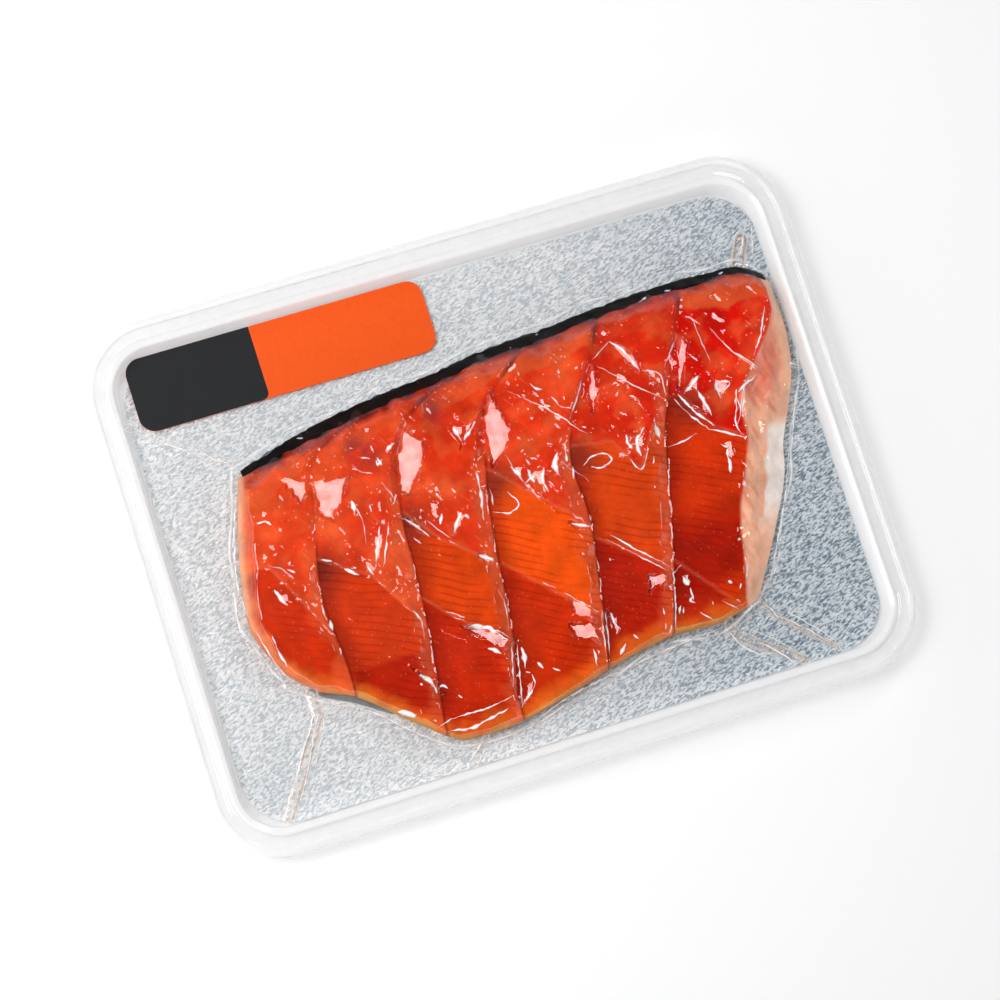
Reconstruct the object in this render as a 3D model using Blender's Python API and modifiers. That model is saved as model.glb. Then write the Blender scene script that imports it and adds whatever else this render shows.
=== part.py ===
"""A vacuum skin pack of dried salmon: a clear tray, a silver board, the cut fillet, its film and label.

The pack lies flat. The origin is at the middle of the tray's underside, +X runs along the tray,
+Y across it towards the fillet's back edge, and +Z is up. Sizes are in millimetres, and MM turns
them to metres where a mesh is made.
"""
import math

import bmesh
import bpy
import numpy as np
from mathutils import Vector
from mathutils.bvhtree import BVHTree

MM = 0.001
GAP = 0.3

# Tray: a thermoformed sheet with a turned-down lip round a flat flange.
TRAY_LENGTH = 190.0
TRAY_WIDTH = 142.6
TRAY_CORNER = 19.0
TRAY_HEIGHT = 8.2
SHEET = 0.5
LIP_DROP = 3.0
LIP_RUN = 1.7
LIP_ROUND = 0.35
LAND_DIP = 0.25
FLANGE_WIDTH = 5.2
BEAD_WIDTH = 0.6
WALL_RUN = 1.7
WALL_FOOT = 0.4
CORNER_SEGMENTS = 7

# Board under the food.
BOARD_LENGTH = 172.8
BOARD_WIDTH = 125.4
BOARD_CORNER = 13.5
BOARD_THICKNESS = 0.9
BOARD_SHIFT_X = 0.87
BOARD_SHIFT_Y = -0.29
BOARD_TOP = SHEET + GAP + BOARD_THICKNESS

# Film and label.
FILM_THICKNESS = 0.3
FILM_CELL = 4.4
FILM_WAVE = 0.05
FILM_FINE = 6
FILM_CLEARANCE = 0.5
FILM_TRIM = 1.3
FILM_RINGS = 5
FILM_PASSES = 40
SKIRT_SLOPE = 1.6
FILM_PASS_SHARE = 0.5
LABEL_LENGTH = 79.8
LABEL_WIDTH = 19.6
LABEL_CORNER = 5.0
LABEL_THICKNESS = 0.25
LABEL_X = -42.9
LABEL_Y = 52.9

# Fillet. Its outline is four smooth edges, each through a few points measured on the pack.
BACK_EDGE = ((-63, 27), (-44, 31.4), (-22, 34.7), (-8, 36.2), (7, 39), (24, 40.4), (45, 42.2),
             (69, 42.4), (80, 41.2), (85.4, 37.5))
BELLY_EDGE = ((-66, -29), (-60, -33), (-52, -36.6), (-38.5, -48), (-28.7, -55.4), (-22, -56.2),
              (1, -52.8), (15, -49), (32, -46.2), (46, -46.4), (55.8, -44))
HEAD_EDGE = ((-33, -60), (-27, -66), (-21, -69.2), (-12, -71.8), (-6, -71.2), (14, -66.8), (27, -62.6))
TAIL_EDGE = ((-44, 55.8), (-26, 66.9), (-14, 73.2), (-7, 75.2), (4, 80.6), (12, 83.9), (20, 85.4), (37.5, 85.4))

# The cross cuts, as their place along X at six heights across the fillet.
CUT_Y = (-50, -30, -12, 8, 25, 37)
CUTS = ((-51.5, -51.3, -52.5, -48.4, -42.3, -27.5),
        (-32.0, -29.2, -27.8, -26.0, -19.0, -5.0),
        (-12.2, -8.0, -6.2, -2.7, 3.6, 18.0),
        (12.5, 16.4, 19.3, 20.0, 30.5, 37.7),
        (30.0, 36.4, 41.1, 46.4, 54.6, 60.5))
CUT_CLEARANCE = 0.35

# Thickness of the fillet, from its back edge (0) to its belly edge (1).
THICKNESS_AT = (0.0, 0.12, 0.3, 0.45, 0.6, 0.8, 1.0)
THICKNESS = (7.0, 9.6, 11.6, 11.3, 10.2, 9.2, 8.0)
BELLY_HEIGHT = 2.6
BELLY_SLOPE = 1.5
HEAD_HEIGHT = 3.2
HEAD_SLOPE = 1.6
TAIL_HEIGHT = 2.5
TAIL_FACE_Y = (-44, -34, -19, -4, 8, 16, 25, 36)
TAIL_FACE_RUN = (4.0, 8.0, 13.0, 12.0, 16.0, 11.0, 5.0, 2.5)
FOOT_SLOPE = 1.7
SHOULDER = 0.7

# Each strip leans on the next: a long slope up from its left cut, a short drop at its right cut.
LEFT_FLANK_DROP = 3.0
LEFT_FLANK_RUN = 7.5
LEFT_FLANK_LOW = 0.3
RIGHT_FLANK_DROP = 2.4
RIGHT_FLANK_RUN = 3.6
NOTCH_DEPTH = 2.4
NOTCH_REACH = 5.5
NOTCH_INSET = 6.0

# Skin: a thin sheet under the flesh, which curls up along the back edge as a ribbon.
SKIN_THICKNESS = 0.5
SKIN_BOTTOM = BOARD_TOP + GAP
RIBBON_WIDTH = 3.2
RIBBON_FOOT = 0.7
RIBBON_SLOPE = 1.2
SKIN_INSET = 1.6
SKIN_PEEK = 3.0
SKIN_PEEK_X = -50.0
SKIN_PEEK_REACH = 8.0
FLESH_BOTTOM = SKIN_BOTTOM + SKIN_THICKNESS + GAP
FLESH_INSET = RIBBON_WIDTH + 0.5

STRIP_CELLS_ACROSS = 10
STRIP_CELLS_ALONG = 20
SKIN_CELLS_ALONG = 32


def curve(points, at):
    """Smooth curve through a few (place, value) pairs, held level past its ends."""
    places = np.array([p[0] for p in points], float)
    values = np.array([p[1] for p in points], float)
    slopes = np.gradient(values, places)
    at = np.clip(np.asarray(at, float), places[0], places[-1])
    i = np.clip(np.searchsorted(places, at) - 1, 0, len(places) - 2)
    span = places[i + 1] - places[i]
    t = (at - places[i]) / span
    rise = values[i + 1] - values[i]
    return (values[i] + t * t * (3 - 2 * t) * rise
            + span * t * (1 - t) * ((1 - t) * slopes[i] - t * slopes[i + 1]))


def cut_x(k, y):
    """Place along X of cut k at height y; cut 0 is the head edge and the last one the tail edge."""
    if k == 0:
        return curve(HEAD_EDGE, y)
    if k == len(CUTS) + 1:
        return curve(TAIL_EDGE, y)
    return curve(tuple(zip(CUT_Y, CUTS[k - 1])), y)


def soft_min(a, b, radius):
    """The lower of two heights, with the corner between them rounded off."""
    low = np.minimum(a, b)
    return low - radius * np.log(np.exp((low - a) / radius) + np.exp((low - b) / radius))


def ramp(depth, height, slope):
    """A side of the fillet: its height at the edge, rising inwards and falling outwards."""
    return height + np.where(depth > 0, slope, FOOT_SLOPE) * depth


def crown(x, y):
    """Height of the fillet's upper side over the board, away from its edges."""
    back = curve(BACK_EDGE, x)
    belly = curve(BELLY_EDGE, x)
    across = np.clip((back - y) / (back - belly), 0, 1)
    top = curve(tuple(zip(THICKNESS_AT, THICKNESS)), across)
    high_part = 1 - (1 - LEFT_FLANK_LOW) * np.clip((across - 0.4) / 0.2, 0, 1)
    for k in range(1, len(CUTS) + 1):
        edge = cut_x(k, y)
        right_of = x - edge
        left_flank = np.clip(1 - right_of / LEFT_FLANK_RUN, 0, 1) * (right_of >= 0)
        right_flank = np.clip(1 + right_of / RIGHT_FLANK_RUN, 0, 1) * (right_of < 0)
        top = top - LEFT_FLANK_DROP * high_part * left_flank
        top = top - RIGHT_FLANK_DROP * right_flank
        notch_x = cut_x(k, CUT_Y[-1])
        notch_y = curve(BACK_EDGE, notch_x) - NOTCH_INSET
        apart = ((x - notch_x) ** 2 + (y - notch_y) ** 2) / NOTCH_REACH ** 2
        top = top - NOTCH_DEPTH * np.exp(-apart)
    return top


def drape(x, y):
    """Height over the board of the tight film over the fillet, and nought beside it."""
    x = np.asarray(x, float)
    y = np.asarray(y, float)
    top = crown(x, y)
    inward = curve(BACK_EDGE, x) - y
    ribbon = ramp(inward, RIBBON_FOOT, RIBBON_SLOPE)
    ribbon = ribbon + np.clip(inward - RIBBON_WIDTH, 0, None)
    belly = ramp(y - curve(BELLY_EDGE, x), BELLY_HEIGHT, BELLY_SLOPE)
    head = ramp(x - curve(HEAD_EDGE, y), HEAD_HEIGHT, HEAD_SLOPE)
    face_run = curve(tuple(zip(TAIL_FACE_Y, TAIL_FACE_RUN)), y)
    tail = ramp(curve(TAIL_EDGE, y) - x, TAIL_HEIGHT, (top - TAIL_HEIGHT) / face_run)
    for side in (ribbon, belly, head, tail):
        top = soft_min(top, side, SHOULDER)
    return np.maximum(top, 0)


def material(name, colour, roughness, metallic, alpha=1.0):
    """A Principled material with the part's own colour and finish."""
    made = bpy.data.materials.new(name)
    made.use_nodes = True
    shader = made.node_tree.nodes["Principled BSDF"]
    shader.inputs["Base Color"].default_value = (*colour, 1.0)
    shader.inputs["Roughness"].default_value = roughness
    shader.inputs["Metallic"].default_value = metallic
    shader.inputs["Alpha"].default_value = alpha
    made.diffuse_color = (*colour, alpha)
    return made


def finish(name, bm, collection, surface):
    """Turn the work mesh into the named object of the pack, its faces pointing out, or up on a sheet."""
    bmesh.ops.recalc_face_normals(bm, faces=bm.faces)
    is_sheet = any(edge.is_boundary for edge in bm.edges)
    if is_sheet and sum(face.normal.z * face.calc_area() for face in bm.faces) < 0:
        bmesh.ops.reverse_faces(bm, faces=bm.faces)
    mesh = bpy.data.meshes.new(name)
    bm.to_mesh(mesh)
    bm.free()
    mesh.shade_smooth()
    mesh.set_sharp_from_angle(angle=math.radians(35))
    mesh.materials.append(surface)
    made = bpy.data.objects.new(name, mesh)
    collection.objects.link(made)
    return made


def solidify(made, thickness, offset, even=True):
    """Give an open surface its wall."""
    wall = made.modifiers.new("wall", "SOLIDIFY")
    wall.thickness = thickness * MM
    wall.offset = offset
    wall.use_even_offset = even
    wall.use_rim = True


def rounded_plate(bm, length, width, corner, z, centre=(0.0, 0.0), segments=CORNER_SEGMENTS):
    """One flat face with round corners."""
    bmesh.ops.create_grid(bm, x_segments=1, y_segments=1, size=0.5)
    bmesh.ops.scale(bm, vec=(length * MM, width * MM, 1), verts=bm.verts)
    bmesh.ops.translate(bm, vec=(centre[0] * MM, centre[1] * MM, z * MM), verts=bm.verts)
    bmesh.ops.bevel(bm, geom=list(bm.verts), offset=corner * MM, offset_type="OFFSET",
                    affect="VERTICES", segments=segments, profile=0.5)
    bm.faces.ensure_lookup_table()
    return bm.faces[0]


def thick_plate(name, collection, surface, length, width, corner, z, thickness, centre):
    """A flat board or label with round corners."""
    bm = bmesh.new()
    face = rounded_plate(bm, length, width, corner, z, centre)
    grown = bmesh.ops.extrude_face_region(bm, geom=[face])
    risen = [v for v in grown["geom"] if isinstance(v, bmesh.types.BMVert)]
    bmesh.ops.translate(bm, vec=(0, 0, thickness * MM), verts=risen)
    return finish(name, bm, collection, surface)


def tray_steps():
    """The tray's section, from the lip's edge inwards: (step in, step up) for each ring."""
    land_start = LIP_RUN + 0.4
    land_end = FLANGE_WIDTH - BEAD_WIDTH
    return ((LIP_ROUND, LIP_DROP * 0.72),
            (LIP_ROUND, LIP_DROP * 0.2),
            (LIP_RUN - 2 * LIP_ROUND, LIP_DROP * 0.08),
            (land_start - LIP_RUN, -LAND_DIP),
            (land_end - land_start, 0.0),
            (BEAD_WIDTH / 2, LAND_DIP),
            (BEAD_WIDTH / 2, 0.0),
            (WALL_FOOT, -2 * WALL_FOOT),
            (WALL_RUN - WALL_FOOT, SHEET - TRAY_HEIGHT + 4 * WALL_FOOT),
            (WALL_FOOT, -2 * WALL_FOOT))


def make_tray(collection):
    """The clear tray: rings set in from the lip's edge, then a sheet's thickness below them."""
    bm = bmesh.new()
    face = rounded_plate(bm, TRAY_LENGTH, TRAY_WIDTH, TRAY_CORNER, TRAY_HEIGHT - LIP_DROP)
    for step_in, step_up in tray_steps():
        bmesh.ops.inset_region(bm, faces=[face], thickness=step_in * MM, depth=0.0,
                               use_boundary=True, use_even_offset=True)
        bmesh.ops.translate(bm, vec=(0, 0, step_up * MM), verts=face.verts)
    made = finish("tray", bm, collection, material("clear tray", (0.9, 0.92, 0.94), 0.1, 0.0, 0.3))
    solidify(made, SHEET, -1.0)
    return made


def make_board(collection):
    """The silver board that the food lies on."""
    surface = material("silver board", (0.62, 0.66, 0.7), 0.4, 0.9)
    return thick_plate("board", collection, surface, BOARD_LENGTH, BOARD_WIDTH, BOARD_CORNER,
                       BOARD_TOP - BOARD_THICKNESS, BOARD_THICKNESS, (BOARD_SHIFT_X, BOARD_SHIFT_Y))


def make_label(collection):
    """The sticker on the film, over the board's upper left corner."""
    surface = material("label paper", (0.95, 0.11, 0.01), 0.5, 0.0)
    bottom = BOARD_TOP + GAP + FILM_THICKNESS + GAP
    return thick_plate("label", collection, surface, LABEL_LENGTH, LABEL_WIDTH, LABEL_CORNER,
                       bottom, LABEL_THICKNESS, (LABEL_X, LABEL_Y))


def strip_plan(k, u, v):
    """Place of a strip's point: u runs from its left cut to its right one, v from back to belly."""

    def corner(edge, side):
        """Where cut `edge` meets the back (side 0) or the belly (side 1)."""
        y = CUT_Y[-1] if side == 0 else CUT_Y[0]
        for _ in range(8):
            x = cut_x(edge, y) + (CUT_CLEARANCE if edge == k else -CUT_CLEARANCE)
            y = curve(BACK_EDGE, x) - FLESH_INSET if side == 0 else curve(BELLY_EDGE, x)
        return np.array([float(x), float(y)])

    p00, p10, p01, p11 = (corner(k + a, b) for b in (0, 1) for a in (0, 1))
    left_y = p00[1] + (p01[1] - p00[1]) * v
    right_y = p10[1] + (p11[1] - p10[1]) * v
    left = np.stack([cut_x(k, left_y) + CUT_CLEARANCE, left_y])
    right = np.stack([cut_x(k + 1, right_y) - CUT_CLEARANCE, right_y])
    top_x = p00[0] + (p10[0] - p00[0]) * u
    low_x = p01[0] + (p11[0] - p01[0]) * u
    top = np.stack([top_x, curve(BACK_EDGE, top_x) - FLESH_INSET])
    low = np.stack([low_x, curve(BELLY_EDGE, low_x)])
    flat = ((1 - u) * (1 - v) * p00[:, None] + u * (1 - v) * p10[:, None]
            + (1 - u) * v * p01[:, None] + u * v * p11[:, None])
    return (1 - u) * left + u * right + (1 - v) * top + v * low - flat


def unit_grid(bm, across, along):
    """A flat grid whose corners are at 0 and 1, and its vertices' places as two arrays."""
    made = bmesh.ops.create_grid(bm, x_segments=across, y_segments=along, size=0.5)
    verts = made["verts"]
    places = np.array([v.co[:2] for v in verts]) + 0.5
    return verts, places[:, 0], places[:, 1]


def split_cells(bm):
    """Split each cell of a unit grid along the diagonal that the film uses there."""
    for face in list(bm.faces):
        middle = face.calc_center_median()
        lean = -1 if leans_back(middle.x, middle.y) else 1
        ordered = sorted(face.verts, key=lambda vert: vert.co.x + lean * vert.co.y)
        bmesh.utils.face_split(face, ordered[0], ordered[-1])


def put(verts, x, y, z):
    """Move vertices to places given in millimetres."""
    for vert, px, py, pz in zip(verts, x, y, z):
        vert.co = Vector((px, py, pz)) * MM


def make_strip(k, collection, surface):
    """One strip of flesh between two cuts: an uneven top, upright cut faces and a flat underside."""
    bm = bmesh.new()
    verts, u, v = unit_grid(bm, STRIP_CELLS_ACROSS, STRIP_CELLS_ALONG)
    u = 0.5 - 0.5 * np.cos(np.pi * u) * (0.35 + 0.65 * np.abs(np.cos(np.pi * u)))
    x, y = strip_plan(k, u, 1 - v)
    top = BOARD_TOP + drape(x, y)
    put(verts, x, y, top)
    grown = bmesh.ops.extrude_face_region(bm, geom=list(bm.faces))
    lower = [g for g in grown["geom"] if isinstance(g, bmesh.types.BMVert)]
    under = [g for g in grown["geom"] if isinstance(g, bmesh.types.BMFace)]
    for vert in lower:
        vert.co.z = FLESH_BOTTOM * MM
    bmesh.ops.dissolve_faces(bm, faces=under, use_verts=True)
    return finish("strip_%d" % (k + 1), bm, collection, surface)


def skin_section(along, across):
    """Point of the skin: from the ribbon's upper edge (across 0) round the curl and under the flesh."""
    start, end = BACK_EDGE[0][0] + 1.5, BACK_EDGE[-1][0] - 1.5
    x = start + (end - start) * along
    back = curve(BACK_EDGE, x)
    peek = SKIN_PEEK * np.exp(-((x - SKIN_PEEK_X) / SKIN_PEEK_REACH) ** 2)
    belly = curve(BELLY_EDGE, x) + SKIN_INSET - peek
    head = curve(HEAD_EDGE, belly)
    belly = np.where(x < head, belly + (head - x), belly)
    tail = curve(tuple((px, py) for py, px in TAIL_EDGE[:1]) + ((85.4, 24.0),), x) + SKIN_INSET
    belly = np.where(x > TAIL_EDGE[0][1], np.maximum(belly, tail), belly)
    curl = SKIN_THICKNESS + 0.5
    ribbon_rise = RIBBON_FOOT + RIBBON_SLOPE * RIBBON_WIDTH - GAP
    path_in = (RIBBON_WIDTH, RIBBON_WIDTH * 0.45, 0.35, 0.35, curl + 0.6)
    path_up = (ribbon_rise, ribbon_rise * 0.62, curl * 1.25, curl * 0.6, GAP)
    step = across * (len(path_in) + 1)
    round_curl = np.clip(step, 0, len(path_in) - 1)
    inward = np.interp(round_curl, range(len(path_in)), path_in)
    rise = np.interp(round_curl, range(len(path_in)), path_up)
    flat = np.clip((step - len(path_in) + 1) / 2, 0, 1)
    y = (back - inward) * (1 - flat) + belly * flat
    return x, y, BOARD_TOP + rise


def make_skin(collection):
    """The dark skin under the flesh, with its ribbon up the back edge."""
    bm = bmesh.new()
    verts, along, across = unit_grid(bm, SKIN_CELLS_ALONG, 6)
    x, y, z = skin_section(along, across)
    put(verts, x, y, z)
    made = finish("skin", bm, collection, material("fish skin", (0.02, 0.02, 0.025), 0.25, 0.0))
    solidify(made, SKIN_THICKNESS, 0.0)
    return made


def film_half_cells():
    """Cells of the film from its middle to its edge, along and across."""
    return (round(TRAY_LENGTH / 2 / FILM_CELL), round(TRAY_WIDTH / 2 / FILM_CELL))


def film_plan(a, b):
    """Place and lowest height of the film at cell (a, b) from its middle.

    Its outer rings of cells climb the wall to the flange. Within them, square rings of cells
    round off little by little towards the tray's own round corners.
    """
    half_a, half_b = film_half_cells()
    foot = FLANGE_WIDTH + WALL_RUN + WALL_FOOT + GAP
    insets = (foot, foot - WALL_FOOT, FLANGE_WIDTH + WALL_FOOT + GAP * 1.6, FLANGE_WIDTH + GAP,
              FLANGE_WIDTH / 2, FILM_TRIM)
    on_board = BOARD_TOP + GAP
    on_flange = TRAY_HEIGHT + GAP
    heights = (on_board, on_board + 1.6, on_flange - 1.1, on_flange, on_flange, on_flange)
    step = np.maximum(np.maximum(np.abs(a) - half_a, np.abs(b) - half_b) + FILM_RINGS, 0)
    inset = np.interp(step, range(len(insets)), insets)
    floor = np.interp(step, range(len(heights)), heights)
    floor = floor + FILM_WAVE * (1 + np.sin(1.7 * a + 0.6 * b) * np.sin(2.3 * b - 0.4 * a))
    s = a / (half_a - FILM_RINGS + step)
    t = b / (half_b - FILM_RINGS + step)
    ring = np.maximum(np.abs(s), np.abs(t))
    x = (TRAY_LENGTH / 2 - inset) * s
    y = (TRAY_WIDTH / 2 - inset) * t
    corner = (TRAY_CORNER - inset) * ring ** 3
    over_x = np.abs(x) - (TRAY_LENGTH / 2 - inset) * ring + corner
    over_y = np.abs(y) - (TRAY_WIDTH / 2 - inset) * ring + corner
    in_corner = (over_x > 0) & (over_y > 0)
    length = np.where(in_corner, np.hypot(over_x, over_y), 1)
    pull = np.where(in_corner, 1 - np.maximum(over_x, over_y) / length, 0)
    return x - np.sign(x) * over_x * pull, y - np.sign(y) * over_y * pull, floor


def contents_tree(pieces):
    """Search tree over the finished surfaces of some pieces."""
    bpy.context.view_layer.update()
    graph = bpy.context.evaluated_depsgraph_get()
    joined = bmesh.new()
    for piece in pieces:
        joined.from_mesh(piece.evaluated_get(graph).to_mesh())
    tree = BVHTree.FromBMesh(joined)
    joined.free()
    return tree


def draped(tree, x, y):
    """Height that the film's underside needs over the pieces in the tree, and on the skirt round them."""
    need = np.zeros(x.shape)
    for place in np.ndindex(x.shape):
        start = Vector((x[place], y[place], 4 * TRAY_HEIGHT)) * MM
        hit = tree.ray_cast(start, Vector((0, 0, -1)))[0]
        if hit:
            need[place] = hit.z / MM + FILM_CLEARANCE
    fall = SKIRT_SLOPE * FILM_CELL / FILM_FINE
    for _ in range(round(max(THICKNESS) / fall)):
        for here, beside in ((np.s_[1:], np.s_[:-1]), (np.s_[:-1], np.s_[1:])):
            need[here] = np.maximum(need[here], need[beside] - fall)
            need[:, here] = np.maximum(need[:, here], need[:, beside] - fall)
    return need


def leans_back(a, b):
    """Whether a cell is split from lower right to upper left, to suit the tray's round corners."""
    return (a < 0) != (b < 0)


def facet_weights():
    """How the fine samples in a cell share its corners (00, 01, 10, 11), for both ways to split it."""
    steps = np.arange(FILM_FINE + 1) / FILM_FINE
    p, q = np.meshgrid(steps, steps, indexing="ij")
    forward = np.stack([1 - np.maximum(p, q), np.maximum(q - p, 0), np.maximum(p - q, 0), np.minimum(p, q)])
    return {False: forward, True: forward[[2, 3, 0, 1], ::-1]}


def lifted(floor, need):
    """Low heights of the coarse points whose facets clear every fine sample."""
    fine = FILM_FINE
    half_a, half_b = film_half_cells()
    weights = facet_weights()
    height = np.maximum(floor, need[::fine, ::fine])
    ceiling = height.copy()
    cells = list(np.ndindex(height.shape[0] - 1, height.shape[1] - 1))
    for i, j in cells:
        highest = need[i * fine:(i + 1) * fine + 1, j * fine:(j + 1) * fine + 1].max()
        ceiling[i:i + 2, j:j + 2] = np.maximum(ceiling[i:i + 2, j:j + 2], highest)
    for _ in range(FILM_PASSES):
        lift = np.zeros_like(height)
        for i, j in cells:
            weight = weights[leans_back(i - half_a, j - half_b)]
            sheet = np.tensordot(height[i:i + 2, j:j + 2].ravel(), weight, axes=1)
            short = np.maximum(need[i * fine:(i + 1) * fine + 1, j * fine:(j + 1) * fine + 1] - sheet, 0)
            share = (weight * short / (weight ** 2).sum(axis=0)).max(axis=(1, 2)).reshape(2, 2)
            lift[i:i + 2, j:j + 2] = np.maximum(lift[i:i + 2, j:j + 2], share)
        height = np.minimum(height + FILM_PASS_SHARE * lift, ceiling)
    return height


def make_film(collection, contents):
    """The clear film: over flange, wall, board and fillet, just clear of all of them."""
    half_a, half_b = film_half_cells()
    a = np.arange(-half_a * FILM_FINE, half_a * FILM_FINE + 1) / FILM_FINE
    b = np.arange(-half_b * FILM_FINE, half_b * FILM_FINE + 1) / FILM_FINE
    x, y, floor = film_plan(*np.meshgrid(a, b, indexing="ij"))
    coarse = (slice(None, None, FILM_FINE), slice(None, None, FILM_FINE))
    height = lifted(floor[coarse], draped(contents_tree(contents), x, y))
    bm = bmesh.new()
    verts, u, v = unit_grid(bm, 2 * half_a, 2 * half_b)
    place = (np.rint(u * 2 * half_a).astype(int), np.rint(v * 2 * half_b).astype(int))
    split_cells(bm)
    put(verts, x[coarse][place], y[coarse][place], height[place])
    made = finish("film", bm, collection, material("clear film", (0.95, 0.96, 0.97), 0.05, 0.0, 0.2))
    solidify(made, FILM_THICKNESS, 1.0, even=False)
    return made


def main():
    """Build the pack in a collection of its own."""
    for old in list(bpy.data.objects):
        bpy.data.objects.remove(old, do_unlink=True)
    pack = bpy.data.collections.new("dried salmon pack")
    bpy.context.scene.collection.children.link(pack)
    make_tray(pack)
    make_board(pack)
    flesh = material("dried salmon flesh", (0.72, 0.07, 0.02), 0.35, 0.0)
    fillet = [make_strip(k, pack, flesh) for k in range(len(CUTS) + 1)]
    fillet.append(make_skin(pack))
    make_film(pack, fillet)
    make_label(pack)


main()
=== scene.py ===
"""Looks of the salmon pack: the clear tray, silver board, cut fillet, tight film and label.

Sizes are in millimetres in the pack's own frame, and MM turns them to metres where a mesh is made.
"""
import math
from contextlib import contextmanager

import bpy
import numpy as np
from mathutils import Matrix, Vector


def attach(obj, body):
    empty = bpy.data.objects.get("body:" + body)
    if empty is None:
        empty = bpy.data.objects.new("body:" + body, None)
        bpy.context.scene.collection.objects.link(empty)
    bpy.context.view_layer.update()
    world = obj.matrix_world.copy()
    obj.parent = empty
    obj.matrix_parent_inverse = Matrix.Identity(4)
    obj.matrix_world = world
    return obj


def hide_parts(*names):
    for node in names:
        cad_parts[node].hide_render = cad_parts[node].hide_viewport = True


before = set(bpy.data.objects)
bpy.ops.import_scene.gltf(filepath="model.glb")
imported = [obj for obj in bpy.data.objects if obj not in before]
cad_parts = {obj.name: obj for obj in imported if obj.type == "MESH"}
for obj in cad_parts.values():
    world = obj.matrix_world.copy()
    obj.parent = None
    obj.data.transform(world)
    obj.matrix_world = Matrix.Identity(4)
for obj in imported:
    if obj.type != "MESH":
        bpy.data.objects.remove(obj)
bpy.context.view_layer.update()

MM = 0.001
SEED = 7

# Camera: the photograph's own place and lens, found from the tray's outline. The pack lies square to
# the axes, and the camera's roll turns it in the picture.
CAMERA_TILT_X = -9.796
CAMERA_TILT_Y = 6.343
CAMERA_ROLL = 17.9
CAMERA_SHIFT = (0.12, -0.94, -879.22)
CAMERA_LENS = 122.4
SENSOR_WIDTH = 36

# Softboxes: azimuth from +X, elevation, distance in metres, width and height in metres, radiance.
LEFT_SOFTBOX = (172, 62, 0.75, 0.24, 0.24, 9.0)
BACK_SOFTBOX = (50, 40, 1.3, 0.3, 0.3, 10.0)
RIGHT_SOFTBOX = (-8, 43, 1.3, 0.24, 0.24, 9.0)
# A close soft fill from the left makes that side of the pack the lighter one. The film doesn't mirror it.
LEFT_FILL = (165, 60, 0.42, 0.3, 0.3, 3.0)
# A large soft fill overhead, not seen in the film either.
TOP_FILL = (60, 75, 1.4, 1.0, 1.0, 0.8)

# The room: bright up to the first of these heights, as sines of the elevation, and dark above the second.
BRIGHT_BELOW = 0.30
DARK_ABOVE = 0.54
ROOM_BRIGHT = 1.7
ROOM_DARK = 0.02
# At its back, round this azimuth, only a share of its light is left where the cosine passes BACK_CLOSE.
BACK_AZIMUTH = 50
BACK_CLOSE = 0.6
BACK_SHARE = 0.12
FLOOR_SIZE = 6000
FLOOR_DROP = 0.2
FLOOR_GREY = 0.72
FLOOR_GLOW = 0.27

# Tray
TRAY_LENGTH = 190.0
TRAY_WIDTH = 142.6
TRAY_CORNER = 19.0
SHEET = 0.5
FOOT_INSET = 7.3
CORNER_SEGMENTS = 22
# Section from the lip's lower edge inwards: (inset, height, radius of the bend there).
TRAY_SECTION = ((0.0, 5.2, 0), (0.3, 7.95, 0.5), (1.5, 8.2, 0.35), (2.0, 7.85, 0.25), (4.1, 7.85, 0.2),
                (4.45, 8.2, 0.2), (5.2, 8.2, 0.4), (6.6, 1.2, 0.9), (7.3, 0.5, 0.5))
# How soon the rings of a round-cornered grid turn square towards its middle.
RING_POWER = 6

# Board
BOARD_LENGTH = 172.8
BOARD_WIDTH = 125.4
BOARD_CORNER = 13.5
BOARD_X = 0.87
BOARD_Y = -0.29
BOARD_TOP = 1.7
BOARD_THICKNESS = 0.9
BOARD_CELL = 0.5
EMBOSS_DEPTH = 0.13
EMBOSS_TURN = 19
EMBOSS_STRETCH = 1.8
EMBOSS_LENGTH = 1.5
# The emboss runs out over the last sixtieth of the way to the board's edge.
EMBOSS_FADE = 60
# One dent of the fine emboss, which the material adds: its length and width.
DENT_LENGTH = 1.1
DENT_WIDTH = 0.46
# The board's colour is painted lightest below the first of these places and darkest past the second, along
# BOARD_SHADE, as painted shade.
BOARD_SHADE = (1, -0.4, 0)
SHADE_FROM = 0
SHADE_TO = 90

# Fillet: outline, cuts and thickness, as the solids have them, save that the back edge lies up to 1.3
# further out at the left.
BACK_EDGE = ((-63, 27), (-44, 32.3), (-22, 35.9), (-8, 37.2), (7, 39.4), (24, 40.4), (45, 42.2),
             (69, 42.4), (80, 41.2), (85.4, 37.5))
BELLY_EDGE = ((-66, -29), (-60, -33), (-52, -36.6), (-38.5, -48), (-28.7, -55.4), (-22, -56.2),
              (1, -52.8), (15, -49), (32, -46.2), (46, -46.4), (55.8, -44))
HEAD_EDGE = ((-33, -60), (-27, -66), (-21, -69.2), (-12, -71.8), (-6, -71.2), (14, -66.8), (27, -62.6))
TAIL_EDGE = ((-44, 55.8), (-26, 66.9), (-14, 73.2), (-7, 75.2), (4, 80.6), (12, 83.9), (20, 85.4),
             (37.5, 85.4))
# Round the outline: edge, first and last place along it, number of points.
OUTLINE_RUNS = ((BACK_EDGE, -62.6, 85.4, 150), (TAIL_EDGE, 37.5, -44, 80), (BELLY_EDGE, 55.8, -66, 120),
                (HEAD_EDGE, -29, 27, 56))
CUT_Y = (-50, -30, -12, 8, 25, 37)
CUTS = ((-51.5, -51.3, -52.5, -48.4, -42.3, -27.5),
        (-32.0, -29.2, -27.8, -26.0, -19.0, -5.0),
        (-12.2, -8.0, -6.2, -2.7, 3.6, 18.0),
        (12.5, 16.4, 19.3, 20.0, 30.5, 37.7),
        (30.0, 36.4, 41.1, 46.4, 54.6, 60.5))
LAST_STRIP = len(CUTS)
CUT_CLEARANCE = 0.03
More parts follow.
